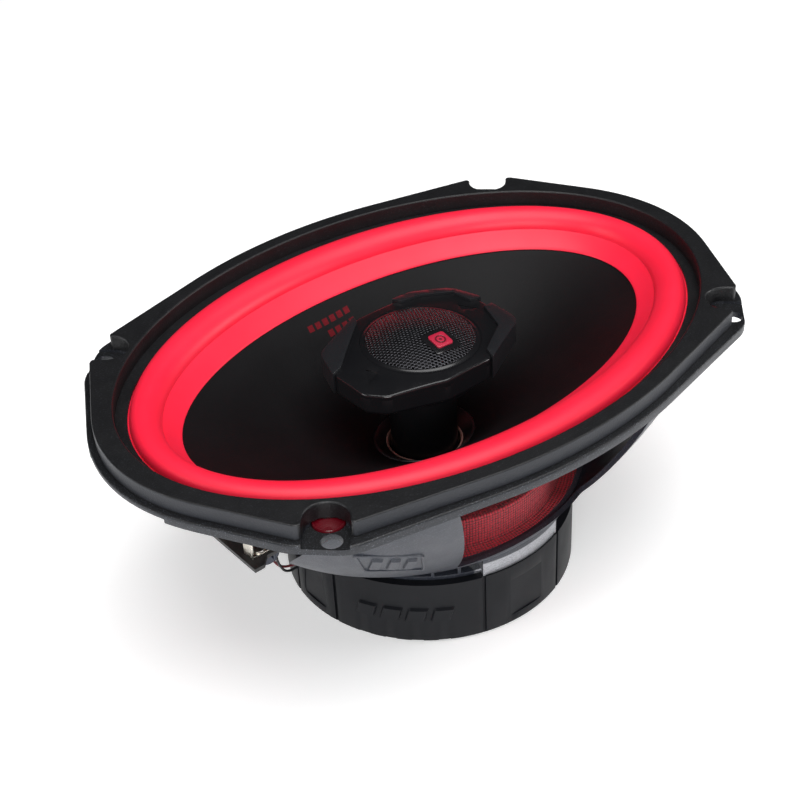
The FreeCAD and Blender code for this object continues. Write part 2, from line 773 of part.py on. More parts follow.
def boot():
    """Rubber cover of the magnet, with grooves, panel reliefs and edge slots."""
    outer, inner = size("boot_radius"), size("boot_inner_radius")
    low, top = size("boot_bottom"), size("boot_top")
    floor = size("yoke_bottom")
    shell = cylinder(outer, low, top).cut(cylinder(inner, floor, top + 1))
    shell = shell.cut(cylinder(size("boot_floor_bore"), low - 1, floor + 1))
    rim = [edge for edge in edges_at(shell, low) if edge.BoundBox.XMax > inner]
    shell = shell.makeChamfer(size("boot_edge_chamfer"), rim)
    cutters = []
    groove_in = outer - size("boot_groove_depth")
    half_width = size("boot_groove_width") / 2
    groove = block((groove_in, outer + 1), (-half_width, half_width), (low - 1, top + 1))
    for middle, spread in ((90, size("boot_side_groove")), (-90, size("boot_side_groove")),
                           (0, size("boot_end_groove")), (180, size("boot_end_groove"))):
        cutters += [turn_z(groove, middle - spread), turn_z(groove, middle + spread)]
    relief_low, relief_high = size("boot_relief_low"), size("boot_relief_high")
    relief_in = outer - size("boot_relief_depth")
    for azimuth, half_low, half_high in ((90, 11.0, 8.4), (-90, 11.0, 8.4),
                                         (0, 6.4, 4.8), (180, 6.4, 4.8)):
        corners = [(-half_low, relief_low), (half_low, relief_low),
                   (half_high, relief_high), (-half_high, relief_high)]
        wire = Part.makePolygon([Vector(relief_in, y, z) for y, z in corners + corners[:1]])
        wedge = Part.Face(wire).extrude(Vector(outer, 0, 0))
        wedge = wedge.makeFillet(size("boot_relief_rounding"),
                                 [edge for edge in wedge.Edges
                                  if abs(edge.Length - outer) < 1e-3])
        wedge = wedge.cut(cylinder(relief_in, low - 1, top + 1))
        cutters.append(turn_z(wedge, azimuth))
    slot_half = size("boot_slot_half_width")
    slot = block((outer - size("boot_slot_depth"), outer + 1), (-slot_half, slot_half),
                 (low - 1, low + size("boot_slot_height")))
    for middle in (40, 140, -140, -40):
        for step in (-1.5, -0.5, 0.5, 1.5):
            cutters.append(turn_z(slot, middle + size("boot_slot_pitch") * step))
    for cutter in cutters:
        shell = shell.cut(cutter)
    half = size("lead_slot_width") / 2
    channel_in, channel_out = inner - 1, inner + 1.15
    channel_low = size("magnet_bottom") - size("lead_slot_depth") - 0.4
    shell = shell.cut(block((-channel_out, -channel_in), (-half, half),
                            (channel_low, top + 1)))
    shell = shell.cut(block((-outer - 1, -channel_in), (-half, half), (top - 4.6, top + 1)))
    return plain("magnet_boot", shell)


# ------------------------------------------------------- tweeter post and pod
def post():
    turned("tweeter_post", [
        ("pole_bore", "pole_top"), ("post_radius", "pole_top"), ("post_radius", "post_top"),
        ("post_counterbore", "post_top"), ("post_counterbore", "post_counterbore_level"),
        ("pole_bore", "post_counterbore_level")])
    sink = "yoke_bottom + counterbore_depth"
    seat = f"{sink} - washer_thickness"
    turned("post_bolt", [
        ("0", f"{seat} - bolt_head_height"), ("bolt_head_radius", f"{seat} - bolt_head_height"),
        ("bolt_head_radius", seat), ("bolt_radius", seat), ("bolt_radius", "bolt_top"),
        ("0", "bolt_top")])
    ring("bolt_washer", "bolt_radius", "washer_radius", seat, sink)
    ring("threaded_insert", "bolt_radius", "insert_radius", "boss_bottom", "bolt_top + 0.5")


def pod_outline(grow=0.0):
    """Plan of the tweeter pod: a long body with four cut-off corners."""
    half, back, front = size("pod_half_length"), size("pod_back"), size("pod_front")
    points = [(half, front + 15.2), (half, back - 17.0), (half - 3.2, back - 6.6),
              (17.0, back), (-8.0, back), (-half + 4.2, back - 8.6),
              (-half, back - 20.4), (-half, front + 13.4), (-half + 4.6, front + 7.2),
              (-8.6, front), (9.6, front), (half - 1.2, front + 11.6)]
    if not grow:
        return points
    wire = Part.makePolygon([Vector(x, y, 0) for x, y in points + points[:1]])
    wide = wire.makeOffset2D(grow, 2)
    return [(vertex.Point.x, vertex.Point.y) for vertex in wide.OrderedVertexes]


def pod_block(low, high, grow=0.0, rounding=None):
    points = pod_outline(grow)
    shape = prism(points, low, high)
    return shape.makeFillet(rounding or size("pod_corner"), upright_edges(shape, points))


def crown(lift=0.0):
    """The shallow cone that shapes the pod's upper face."""
    top = size("pod_crown_level") + lift
    rim = size("pod_rim_level") + lift
    inner, outer = size("grille_seat_radius") + 0.6, size("pod_half_length")
    slope = (top - rim) / (outer - inner)
    far = outer + 12
    skirt = Part.makeCone(far, inner, slope * (far - inner),
                          Vector(0, 0, top - slope * (far - inner)))
    return skirt.fuse(cylinder(far, size("pod_bottom") - 20, top - slope * (far - inner)))


def pod_pieces():
    split, bottom = size("pod_split"), size("pod_bottom")
    tub = pod_block(bottom, split)
    tub = tub.makeFillet(size("pod_bottom_round"), edges_at(tub, bottom))
    hub_low = size("hub_bottom")
    boss_low, boss = size("boss_bottom"), size("boss_radius")
    tub = fused([tub, cylinder(size("hub_radius"), hub_low, bottom + 1),
                 cylinder(boss, boss_low, hub_low + 1)])
    tub = tub.cut(cylinder(size("cup_radius") + 0.1, size("cup_bottom"), split + 1))
    tub = tub.cut(cylinder(size("dome_ring_radius") + 0.2, size("cup_top"), split + 1))
    tub = tub.cut(cylinder(size("chamber_radius"), size("hub_floor"), split))
    tub = tub.cut(cylinder(size("insert_radius"), boss_low - 1, size("bolt_top") + 0.5))
    half = size("lead_slot_width") / 2
    tub = tub.cut(block((-boss - 1, -4.3), (-half, half), (boss_low - 1, hub_low)))
    tub = tub.cut(block((-boss + 0.4, -4.3), (-half, half), (boss_low - 1, 0)))
    plain("tweeter_housing", tub)

    bezel = pod_block(split, size("pod_crown_level")).common(crown())
    rim_edges = [edge for edge in bezel.Edges
                 if edge.BoundBox.ZMin > split + 0.2
                 and edge.BoundBox.XLength + edge.BoundBox.YLength > 0.01
                 and math.hypot(*edge.CenterOfMass[:2]) > size("grille_seat_radius") + 1.5]
    bezel = bezel.makeFillet(size("pod_top_round"), rim_edges)
    opening = size("grille_radius") - 0.9
    bezel = bezel.cut(cylinder(opening, split - 1, size("pod_crown_level") + 1))
    seat_level = size("pod_crown_level") - size("grille_skin") - 0.1
    bezel = bezel.cut(cylinder(size("grille_seat_radius"), seat_level,
                               size("pod_crown_level") + 1))
    below_relief = crown(-size("triangle_depth"))
    for sign, spot in ((-1, -5.6), (1, 4.4)):
        triangle = [(sign * 22.6, spot), (sign * 28.2, spot - 2.2), (sign * 24.2, spot + 4.6)]
        relief = prism(triangle, split, size("pod_crown_level") + 1).cut(below_relief)
        bezel = bezel.cut(relief)
    plain("tweeter_bezel", bezel)

    lower = pod_block(size("claw_bottom") - 1, size("pod_crown_level") + 2).common(crown())
    wrap = pod_block(size("claw_bottom"), size("pod_crown_level") + 2, size("claw_wrap"),
                     size("pod_corner + claw_wrap"))
    skin = wrap.common(crown(size("claw_height"))).cut(lower)
    back, front, reach = size("pod_back"), size("pod_front"), size("pod_half_length")
    claws = {
        "claw_left": [(-9.4, back - 3.0), (-6.4, back + 4), (-reach - 4, back + 4),
                      (-reach - 4, back - 21.4), (-reach + 3.2, back - 19.8)],
        "claw_back": [(8.4, back + 4), (10.2, back - 3.0), (18.2, back - 3.6),
                      (reach - 4.2, back - 9.0), (reach - 3.6, back - 17.6),
                      (reach + 4, back - 18.6), (reach + 4, back + 4)],
        "claw_right": [(9.4, front - 4), (11.4, front + 3.6), (24.8, front + 12.4),
                       (reach - 3.0, front + 25.0), (reach + 4, front + 25.4),
                       (reach + 4, front - 4)],
    }
    for label, outline in claws.items():
        plain(label, skin.common(prism(outline, size("claw_bottom") - 1, 6)))


def grille_ball(lift):
    """The sphere that the grille's outer face lies on, grown by a lift."""
    rise = size("grille_rise")
    radius = (size("grille_radius") ** 2 + rise ** 2) / (2 * rise)
    summit = size("pod_crown_level") + rise
    return Part.makeSphere(radius + lift, Vector(0, 0, summit - radius))


def grille():
    crown_level, skin = size("pod_crown_level"), size("grille_skin")
    cap = grille_ball(0).cut(grille_ball(-skin))
    cap = cap.common(cylinder(size("grille_radius"), crown_level, crown_level + 10))
    seat = crown_level - skin - 0.1
    rim = cylinder(size("grille_seat_radius") - 0.1, seat, crown_level)
    rim = rim.cut(cylinder(size("grille_radius") - 0.9, seat - 1, crown_level + 1))
    plain("tweeter_grille", fused([cap, rim]))


def badge_tile(half, height):
    """A square tile with rounded corners, bent to lie on the grille."""
    low = size("pod_crown_level") + 1
    tall = 12.0
    tile = block((-half, half), (-half, half), (low, low + tall))
    tile = tile.makeFillet(0.9, [edge for edge in tile.Edges
                                 if abs(edge.Length - tall) < 1e-6])
    tile = turn_z(tile, size("badge_turn"))
    tile.translate(Vector(size("badge_along"), size("badge_across"), 0))
    return tile.common(grille_ball(height)).cut(grille_ball(0.02))


def badge():
    face = badge_tile(size("badge_half"), size("badge_height"))
    frame = badge_tile(size("badge_frame_half"), size("badge_frame_height"))
    plain("badge_frame", frame.cut(badge_tile(size("badge_half") + 0.02, 5.0)))
    plain("badge", face)


# ------------------------------------------------------- tweeter drive unit
def tweeter_drive():
    turned("tweeter_cup", [
        ("0", "cup_bottom"), ("cup_radius", "cup_bottom"), ("cup_radius", "cup_top"),
        ("cup_inner_radius", "cup_top"), ("cup_inner_radius", "cup_floor"),
        ("0", "cup_floor")])
    turned("tweeter_magnet", [("0", "cup_floor"), ("neo_radius", "cup_floor"),
                              ("neo_radius", "neo_top"), ("0", "neo_top")])
    turned("tweeter_pole_plate", [("0", "neo_top"), ("pole_plate_radius", "neo_top"),
                                  ("pole_plate_radius", "cup_top"), ("0", "cup_top")])
    ring("tweeter_voice_coil", "dome_radius", "dome_radius + 0.4", "cup_top - 2.6", "dome_base")
    ring("dome_ring", "dome_roll_radius + 0.3", "dome_ring_radius", "cup_top",
         "dome_base - 0.3")
    ring("grille_spacer", "dome_roll_radius + 0.6", "dome_ring_radius - 0.1", "dome_base",
         "pod_crown_level - grille_skin - 0.2")
    base, rise, skin = size("dome_base"), size("dome_rise"), size("dome_skin")
    radius = size("dome_radius") + 0.4
    ball = (radius ** 2 + rise ** 2) / (2 * rise)
    centre = Vector(0, 0, base + rise - ball)
    cap = Part.makeSphere(ball, centre).cut(Part.makeSphere(ball - skin, centre))
    cap = cap.common(cylinder(radius, base, base + rise + 1))
    plain("tweeter_dome", cap)
    ring("tweeter_suspension", "dome_radius + 0.5", "dome_ring_radius - 0.3",
         "dome_base - 0.3", "dome_base")
    turned("damping_felt", [("0", "cup_top"), ("9", "cup_top"), ("9", "cup_top + 0.7"),
                            ("0", "cup_top + 0.7")])


# ------------------------------------------------------ terminal board and leads
def terminal_board():
    reach, neck_reach = "-board_reach", "-board_neck_reach"
    wide, neck = "board_half_width", "board_neck_half_width"
    padded("terminal_board", "board_top - board_thickness", "board_thickness", [[
        (reach, f"-{wide}"), (neck_reach, f"-{wide}"),
        (f"{neck_reach} + 3", f"-{neck}"), ("-board_inner_reach", f"-{neck}"),
        ("-board_inner_reach", neck), (f"{neck_reach} + 3", neck),
        (neck_reach, wide), (reach, wide)]])


def tab(label, across, width):
    """A spade terminal: a foot riveted to the board and an upright blade."""
    thick, top = size("tab_thickness"), size("board_top")
    outer = -size("board_reach")
    low, high = across - width / 2, across + width / 2
    height, inset = size("tab_height"), 2.0
    foot = block((outer + inset, outer + inset + size("tab_foot")), (low, high),
                 (top, top + thick))
    blade = block((outer + inset, outer + inset + thick), (low, high), (top, top + height))
    hole = Part.makeCylinder(size("tab_hole_radius"), 6,
                             Vector(outer, across, top + 0.65 * height), Vector(1, 0, 0))
    plain(label, fused([foot, blade]).cut(hole))


def terminal_parts():
    top = size("board_top")
    under = top - size("board_thickness")
    spread = size("tab_spread")
    tab("terminal_tab_positive", spread, size("tab_wide"))
    tab("terminal_tab_negative", -spread, size("tab_narrow"))
    rivet, height = size("rivet_radius"), size("rivet_height")
    seat, along = top + size("tab_thickness"), 6.0 - size("board_reach")
    rivets = []
    for across in (spread, -spread):
        rivets.append(cylinder(rivet, seat, seat + height, along, across))
        rivets.append(cylinder(rivet, under - height, under, along, across))
    plain("terminal_rivets", Part.makeCompound(rivets))

    spot, half = size("board_screw_along"), size("standoff_half")
    screws, pads = [], []
    for across in (-size("board_screw_across"), size("board_screw_across")):
        screws.append(cylinder(size("board_screw_radius"), top,
                               top + size("board_screw_height"), spot, across))
        pads.append(block((spot - half, spot + half), (across - half, across + half),
                          (size("ledge_top"), under)))
    plain("board_screws", Part.makeCompound(screws))
    plain("board_standoffs", Part.makeCompound(pads))


def capacitor():
    """The crossover's film capacitor, lying across the board's underside."""
    under = size("board_top - board_thickness")
    radius, half = size("capacitor_radius"), size("capacitor_half")
    pin, reach = size("capacitor_pin_radius"), size("capacitor_pin_reach")
    along, level = size("capacitor_along"), under - radius
    axis = Vector(0, 1, 0)
    can = Part.makeCylinder(radius, 2 * half, Vector(along, -half, level), axis)
    can = can.makeFillet(0.6, [edge for edge in can.Edges if len(edge.Vertexes) == 1])
    wire = Part.makeCylinder(pin, 2 * reach, Vector(along, -reach, level), axis)
    pins = [cylinder(pin, level, under, along, side * (reach - pin)) for side in (1, -1)]
    plain("crossover_capacitor", fused([can, wire] + pins))


def lead_tube(label, points, radius, tight=()):
    """A wire of straight runs joined by arcs, as large as the runs or its channel allow."""
    corners = [Vector(*point) for point in points]
    edges, bends, here = [], [], corners[0]
    for index in range(1, len(corners) - 1):
        corner = corners[index]
        inward, outward = corner - corners[index - 1], corners[index + 1] - corner
        setback = 0.45 * min(inward.Length, outward.Length)
        inward.normalize()
        outward.normalize()
        half_turn = inward.getAngle(outward) / 2
        if index in tight:
            setback = size("lead_bend") * math.tan(half_turn)
        start, end = corner - inward * setback, corner + outward * setback
        bend = setback / math.tan(half_turn)
        bends.append(bend)
        bisector = (outward - inward).normalize()
        centre = corner + bisector * (setback / math.sin(half_turn))
        edges.append(Part.LineSegment(here, start).toShape())
        edges.append(Part.Arc(start, centre - bisector * bend, end).toShape())
        here = end
    edges.append(Part.LineSegment(here, corners[-1]).toShape())
    path = Part.Wire(edges)
    start_way = (corners[1] - corners[0]).normalize()
    section = Part.Wire(Part.Circle(corners[0], start_way, radius).toShape())
    tube = path.makePipeShell([section], True, False, 2)
    wanted = math.pi * radius ** 2 * path.Length
    if abs(tube.Volume / wanted - 1) > 0.02:
        raise RuntimeError("a lead's tube has lost volume")
    print(label, "length", round(path.Length, 1), "bends", [round(bend, 1) for bend in bends])
    return plain(label, tube)


def tinsel_leads():
    """Two loose braids from the tabs' feet over the spider to the cone's back."""
    start = -size("board_reach") + 11.5
    top = size("board_top") + size("tab_thickness")
    for label, side in (("tinsel_lead_positive", 1), ("tinsel_lead_negative", -1)):
        route = [(start, side * 9.0, top), (start, side * 9.0, -34.8),
                 (-67.0, side * 9.0, -31.8), (-61.0, side * 8.8, -31.4),
                 (-54.5, side * 8.4, -33.0),
                 (-48.0, side * 8.0, -35.0), (-42.5, side * 8.0, -35.2),
                 (-39.2, side * 8.0, -33.0), (-38.4, side * 8.0, -30.4)]
        lead_tube(label, route, size("tinsel_radius"))


def tweeter_leads():
    """Two thin wires from the board, under the magnet and up through the pole."""
    slot = size("magnet_bottom") - size("lead_slot_depth") + size("lead_radius") + 0.05
    under = size("board_top") - size("board_thickness")
    channel = -size("boot_inner_radius") - 0.6
    entry = size("boot_top") - 2.4
    rise = -size("boss_radius") + 1.35
    for label, side in (("tweeter_lead_positive", 1), ("tweeter_lead_negative", -1)):
        across = side * 0.62
        route = [(-67.0, side * 2.4, under), (-67.4, side * 2.6, -55.0),
                 (-63.6, side * 1.6, -62.6), (-57.0, across, entry),
                 (channel, across, entry), (channel, across, slot),
                 (rise, across, slot), (rise, across, size("cup_bottom"))]
        lead_tube(label, route, size("lead_radius"), tight=(4, 5, 6))


def eyelets():
    """Two small soldered eyelets on the back of the cone."""
    low, high = size("eyelet_bottom"), size("eyelet_top")
    studs = [cylinder(size("eyelet_radius"), low, high, size("eyelet_along"), across)
             for across in (-size("eyelet_across"), size("eyelet_across"))]
    plain("cone_eyelets", Part.makeCompound(studs))


# ------------------------------------------------------------------- build
basket()
basket_screws()
gasket()
surround()
cone()
neck_ring()
spider()
voice_coil()
motor()
boot()
post()
pod_pieces()
grille()
badge()
tweeter_drive()
terminal_board()
terminal_parts()
capacitor()
tinsel_leads()
tweeter_leads()
eyelets()

doc.recompute()
failed = [item.Name for item in doc.Objects
          if "Invalid" in item.State or "Error" in item.State]
for piece in NODES:
    if piece.Shape.isNull() or not piece.Shape.isValid() or not piece.Shape.Solids:
        failed.append(piece.Label)
if failed:
    raise RuntimeError(f"these pieces failed: {failed}")

os.makedirs("parts", exist_ok=True)
for piece in NODES:
    piece.Shape.exportStep(f"parts/{piece.Label}.step")
    print(piece.Label, round(piece.Shape.Volume, 1), len(piece.Shape.Solids))
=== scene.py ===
import json
import math

import bmesh
import bpy
import numpy as np
from mathutils import Matrix, Vector
from mathutils.bvhtree import BVHTree


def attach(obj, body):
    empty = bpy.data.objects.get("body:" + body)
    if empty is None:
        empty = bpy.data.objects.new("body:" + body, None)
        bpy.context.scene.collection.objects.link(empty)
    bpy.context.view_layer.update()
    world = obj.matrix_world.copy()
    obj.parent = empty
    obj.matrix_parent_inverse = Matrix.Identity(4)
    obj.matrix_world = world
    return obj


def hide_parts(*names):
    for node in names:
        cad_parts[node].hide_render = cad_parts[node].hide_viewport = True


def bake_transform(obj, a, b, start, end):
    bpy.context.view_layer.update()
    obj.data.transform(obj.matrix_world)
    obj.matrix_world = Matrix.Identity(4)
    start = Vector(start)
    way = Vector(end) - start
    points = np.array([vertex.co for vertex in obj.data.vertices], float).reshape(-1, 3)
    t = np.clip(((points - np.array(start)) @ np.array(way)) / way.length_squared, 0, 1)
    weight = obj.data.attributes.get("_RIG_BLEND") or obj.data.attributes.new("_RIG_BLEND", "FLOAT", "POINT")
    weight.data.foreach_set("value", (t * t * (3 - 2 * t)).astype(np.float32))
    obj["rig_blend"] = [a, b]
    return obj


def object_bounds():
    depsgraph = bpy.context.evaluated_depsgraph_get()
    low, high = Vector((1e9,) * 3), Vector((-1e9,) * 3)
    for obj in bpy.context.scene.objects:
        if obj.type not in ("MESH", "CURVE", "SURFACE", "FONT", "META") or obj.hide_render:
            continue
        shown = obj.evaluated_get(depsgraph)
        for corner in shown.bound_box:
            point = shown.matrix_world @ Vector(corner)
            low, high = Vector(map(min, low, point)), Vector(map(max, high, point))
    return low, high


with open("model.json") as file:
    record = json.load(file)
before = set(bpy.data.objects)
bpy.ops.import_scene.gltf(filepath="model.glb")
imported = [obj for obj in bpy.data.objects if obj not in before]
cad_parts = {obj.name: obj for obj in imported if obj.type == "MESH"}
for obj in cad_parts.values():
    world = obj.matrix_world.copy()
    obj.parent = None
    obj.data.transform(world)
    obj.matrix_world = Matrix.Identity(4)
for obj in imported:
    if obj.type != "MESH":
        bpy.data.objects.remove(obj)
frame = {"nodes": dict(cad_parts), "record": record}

CAD_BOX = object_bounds()
MM = 0.001
SCENE = bpy.context.scene
NODES = frame["nodes"]
PAINTS = {}     # every Paint by its name, filled in by Paint itself


# ---------------------------------------------------------------- camera and studio
AZIMUTH, ELEVATION, ROLL = math.radians(-37.86), math.radians(35.24), math.radians(-3.10)
EYE = Vector((-266.1, -329.5, 276.7)) * MM
SENSOR_MM, LENS_MM, NEAR_CLIP = 36.0, 67.98, 0.01
FLOOR_HALF = 4


def make_camera():
    """Photo camera, from its place in the row frame and its three angles."""
    back = Vector((math.sin(AZIMUTH) * math.cos(ELEVATION),
                   -math.cos(AZIMUTH) * math.cos(ELEVATION), math.sin(ELEVATION)))
    right = Vector((math.cos(AZIMUTH), math.sin(AZIMUTH), 0))
    up = back.cross(right)
    across = math.cos(ROLL) * right + math.sin(ROLL) * up
    upward = -math.sin(ROLL) * right + math.cos(ROLL) * up
    camera = bpy.data.objects.new("photo_camera", bpy.data.cameras.new("photo_camera"))
    turn = Matrix((across, upward, back)).transposed().to_4x4()
    camera.matrix_world = Matrix.Translation(EYE) @ turn
    camera.data.sensor_width = SENSOR_MM
    camera.data.lens = LENS_MM
    camera.data.clip_start = NEAR_CLIP
    SCENE.collection.objects.link(camera)
    SCENE.camera = camera


def soft_box(name, place, target, size, power):
    """A white area light of a (width, height) in metres, aimed at a target."""
    data = bpy.data.lights.new(name, "AREA")
    data.shape = "RECTANGLE"
    data.size, data.size_y = size
    data.energy = power
    light = bpy.data.objects.new(name, data)
    light.location = place
    aim = Vector(target) - Vector(place)
    light.rotation_euler = aim.to_track_quat("-Z", "Y").to_euler()
    SCENE.collection.objects.link(light)


def make_studio():
    """Pale floor, a room that is bright low down and dim overhead, and soft boxes."""
    SCENE.view_settings.view_transform = "Standard"
    world = bpy.data.worlds.new("studio")
    SCENE.world = world
    world.use_nodes = True
    tree = world.node_tree
    place = tree.nodes.new("ShaderNodeTexCoord")
    split = tree.nodes.new("ShaderNodeSeparateXYZ")
    shade = tree.nodes.new("ShaderNodeMapRange")
    tree.links.new(place.outputs["Generated"], split.inputs[0])
    tree.links.new(split.outputs["Z"], shade.inputs["Value"])
    for key, number in (("From Min", 0.0), ("From Max", 0.45), ("To Min", 0.75),
                        ("To Max", 0.10)):
        shade.inputs[key].default_value = number
    tree.links.new(shade.outputs["Result"], tree.nodes["Background"].inputs["Strength"])
    middle = (0, 0, -0.03)
    soft_box("top_box", (0.0, -0.25, 1.5), (0, 0, 0), (1.6, 1.2), 26.0)
    soft_box("front_box", (-0.75, -1.0, 0.55), middle, (0.9, 0.5), 11.0)
    soft_box("left_box", (-1.1, 0.35, 0.45), middle, (0.5, 0.5), 4.0)
    soft_box("right_box", (1.0, -0.75, 0.35), middle, (0.6, 0.4), 6.0)

    corners = [(FLOOR_HALF * sx, FLOOR_HALF * sy, 0)
               for sx, sy in ((-1, -1), (1, -1), (1, 1), (-1, 1))]
    floor = surface("floor", corners, [(0, 1, 2, 3)])
    floor.location.z = CAD_BOX[0].z
    paint = Paint("studio_floor", (0.93, 0.93, 0.93), 0.8)
    paint.speckle(220, 0.03)
    paint.shader.inputs["Emission Color"].default_value = (1.0, 1.0, 1.0, 1.0)
    paint.shader.inputs["Emission Strength"].default_value = 0.30
    floor.data.materials.append(paint.material)


# ---------------------------------------------------------------- materials
class Paint:
    """A Principled material built up in layers, all in millimetres of the object."""

    def __init__(self, name, color, roughness, metallic=0.0, coat=0.0, coat_roughness=0.1,
                 specular=0.5, sheen=0.0, subsurface=0.0):
        PAINTS[name] = self
        self.material = bpy.data.materials.new(name)
        self.material.use_nodes = True
        self.material.diffuse_color = (*color, 1.0)
        self.tree = self.material.node_tree
        self.shader = self.tree.nodes["Principled BSDF"]
        self.color = self.node("ShaderNodeRGB").outputs[0]
        self.color.default_value = (*color, 1.0)
        self.rough = roughness
        self.normal = None
        values = {"Metallic": metallic, "Coat Weight": coat, "Coat Roughness": coat_roughness,
                  "Specular IOR Level": specular, "Sheen Weight": sheen,
                  "Subsurface Weight": subsurface}
        for socket, value in values.items():
            self.shader.inputs[socket].default_value = value
        if subsurface:
            self.shader.inputs["Subsurface Radius"].default_value = (0.002, 0.0006, 0.0005)
            self.shader.inputs["Subsurface Scale"].default_value = 1.0
        place = self.node("ShaderNodeTexCoord")
        scale = self.node("ShaderNodeVectorMath", operation="SCALE")
        scale.inputs["Scale"].default_value = 1000.0    # metres to millimetres
        self.link(place.outputs["Object"], scale.inputs[0])
        self.place = scale.outputs[0]
        self.uv = place.outputs["UV"]
        self.apply()

    def node(self, kind, **settings):
        made = self.tree.nodes.new(kind)
        for key, value in settings.items():
            setattr(made, key, value)
        return made

    def link(self, source, target):
        self.tree.links.new(source, target)

    def feed(self, value, socket):
        """Link an output, or set a plain number."""
        if isinstance(value, bpy.types.NodeSocket):
            self.link(value, socket)
        else:
            socket.default_value = value

    def apply(self):
        self.feed(self.color, self.shader.inputs["Base Color"])
        self.feed(self.rough, self.shader.inputs["Roughness"])
        if self.normal is not None:
            self.link(self.normal, self.shader.inputs["Normal"])

    def math(self, operation, first, second=0.0):
        made = self.node("ShaderNodeMath", operation=operation)
        for value, socket in zip((first, second), made.inputs):
            self.feed(value, socket)
        return made.outputs[0]

    def product(self, first, *others):
        for other in others:
            first = self.math("MULTIPLY", first, other)
        return first

    def noise(self, size, detail=3.0, stretch=(1, 1, 1)):
        """Noise from 0 to 1 whose grain is about size millimetres."""
        made = self.node("ShaderNodeTexNoise")
        made.inputs["Scale"].default_value = 1.0 / size
        made.inputs["Detail"].default_value = detail
        place = self.place
        if stretch != (1, 1, 1):
            scaled = self.node("ShaderNodeVectorMath", operation="MULTIPLY")
            scaled.inputs[1].default_value = stretch
            self.link(place, scaled.inputs[0])
            place = scaled.outputs[0]
        self.link(place, made.inputs["Vector"])
        return made.outputs["Fac"]

    def range(self, value, low, high, out_low=0.0, out_high=1.0):
        made = self.node("ShaderNodeMapRange")
        self.feed(value, made.inputs["Value"])
        for key, number in (("From Min", low), ("From Max", high), ("To Min", out_low),
                            ("To Max", out_high)):
            made.inputs[key].default_value = number
        return made.outputs["Result"]

    def axes(self, vector=None):
        """The three parts of a vector, by default the place in millimetres."""
        made = self.node("ShaderNodeSeparateXYZ")
        self.link(vector or self.place, made.inputs[0])
        return made.outputs

    def facing_up(self, low=0.35, high=0.75):
        """1 on faces that look up, 0 on upright ones."""
        normal = self.node("ShaderNodeNewGeometry").outputs["True Normal"]
        return self.range(self.axes(normal)[2], low, high)

    def inside(self, value, low, high, soft):
        """1 where a value lies between two limits, with a soft edge."""
        rise = self.range(value, low - soft, low + soft)
        fall = self.range(value, high - soft, high + soft, 1.0, 0.0)
        return self.math("MULTIPLY", rise, fall)

    def tint(self, factor, color):
        """Mix a colour over the present one."""
        made = self.node("ShaderNodeMix", data_type="RGBA")
        self.feed(factor, made.inputs["Factor"])
        self.link(self.color, made.inputs[6])
        made.inputs[7].default_value = (*color, 1.0)
        self.color = made.outputs[2]
        self.apply()

    def bump(self, height, depth):
        """Relief of a given depth in millimetres."""
        made = self.node("ShaderNodeBump")
        made.inputs["Strength"].default_value = 1.0
        made.inputs["Distance"].default_value = depth * MM
        self.feed(height, made.inputs["Height"])
        if self.normal is not None:
            self.link(self.normal, made.inputs["Normal"])
        self.normal = made.outputs[0]
        self.apply()

    def rougher(self, value, amount):
        """Add an amount to the roughness where a value is 1."""
        self.rough = self.math("ADD", self.math("MULTIPLY", value, amount), self.rough)
        self.apply()

    def speckle(self, size, lift, color=(1, 1, 1)):
        """Soft colour variation."""
        self.tint(self.range(self.noise(size, 4), 0.35, 0.75, 0.0, lift), color)

    def mottle(self, size, detail, lift, color):
        """A second colour in broad patches."""
        self.tint(self.range(self.noise(size, detail), 0.3, 0.7, 0.0, lift), color)

    def grain(self, size, depth, flecks=0.0, fleck_color=(0.5, 0.5, 0.55)):
        """Fine moulded grain with optional light flecks."""
        self.bump(self.noise(size, 2.0), depth)
        if flecks:
            spots = self.noise(size * 0.8, 1.0)
            self.tint(self.range(spots, 0.62, 0.72, 0.0, flecks), fleck_color)
        self.rougher(self.range(self.noise(9.0, 3.0), 0.3, 0.7, -0.5, 0.5), 0.08)


def basket_paint():
    """Blue-grey powder coat with bare metal pads at the foot; the flange is painted darker, and its upward
    faces darker still, as painted shade.
    """
    paint = Paint("basket_paint", (0.022, 0.025, 0.034), 0.42, specular=0.42)
    paint.mottle(14.0, 4.0, 0.5, (0.034, 0.039, 0.052))
    x, y, z = paint.axes()
    # Painted shade: the flange, and its upward faces even more, are darkened as if in shadow.
    painted_shade_ledge = paint.product(paint.facing_up(), paint.range(z, 1.0, 2.0))
    painted_shade_flange = paint.product(paint.range(z, -0.6, -0.1), 0.75)
    paint.tint(painted_shade_flange, (0.009, 0.010, 0.013))
    paint.tint(painted_shade_ledge, (0.0050, 0.0052, 0.0060))
    paint.grain(0.42, 0.07, 0.5, (0.17, 0.185, 0.22))

    along, across = paint.math("ABSOLUTE", x), paint.math("ABSOLUTE", y)
    pad = paint.product(paint.range(z, -56.4, -56.0, 1.0, 0.0),
                        paint.range(along, 17.6, 18.4, 1.0, 0.0),
                        paint.range(across, 40.0, 41.0))
    streaks = paint.range(paint.noise(0.8, 5.0, (1.0, 1.0, 3.0)), 0.35, 0.7)
    bare = paint.product(pad, paint.range(streaks, 0.0, 0.6, 0.55, 1.0))
    paint.tint(bare, (0.50, 0.51, 0.54))
    paint.link(bare, paint.shader.inputs["Metallic"])


NOTCH_CENTRE, NOTCH_ACROSS, NOTCH_OUT = (84.3, 59.25), 0.695, 0.719
PAINTED_LIGHT_WALL_OVAL, PAINTED_LIGHT_WALL_FOOT = (113.0, 78.5), (3.2, 3.7)


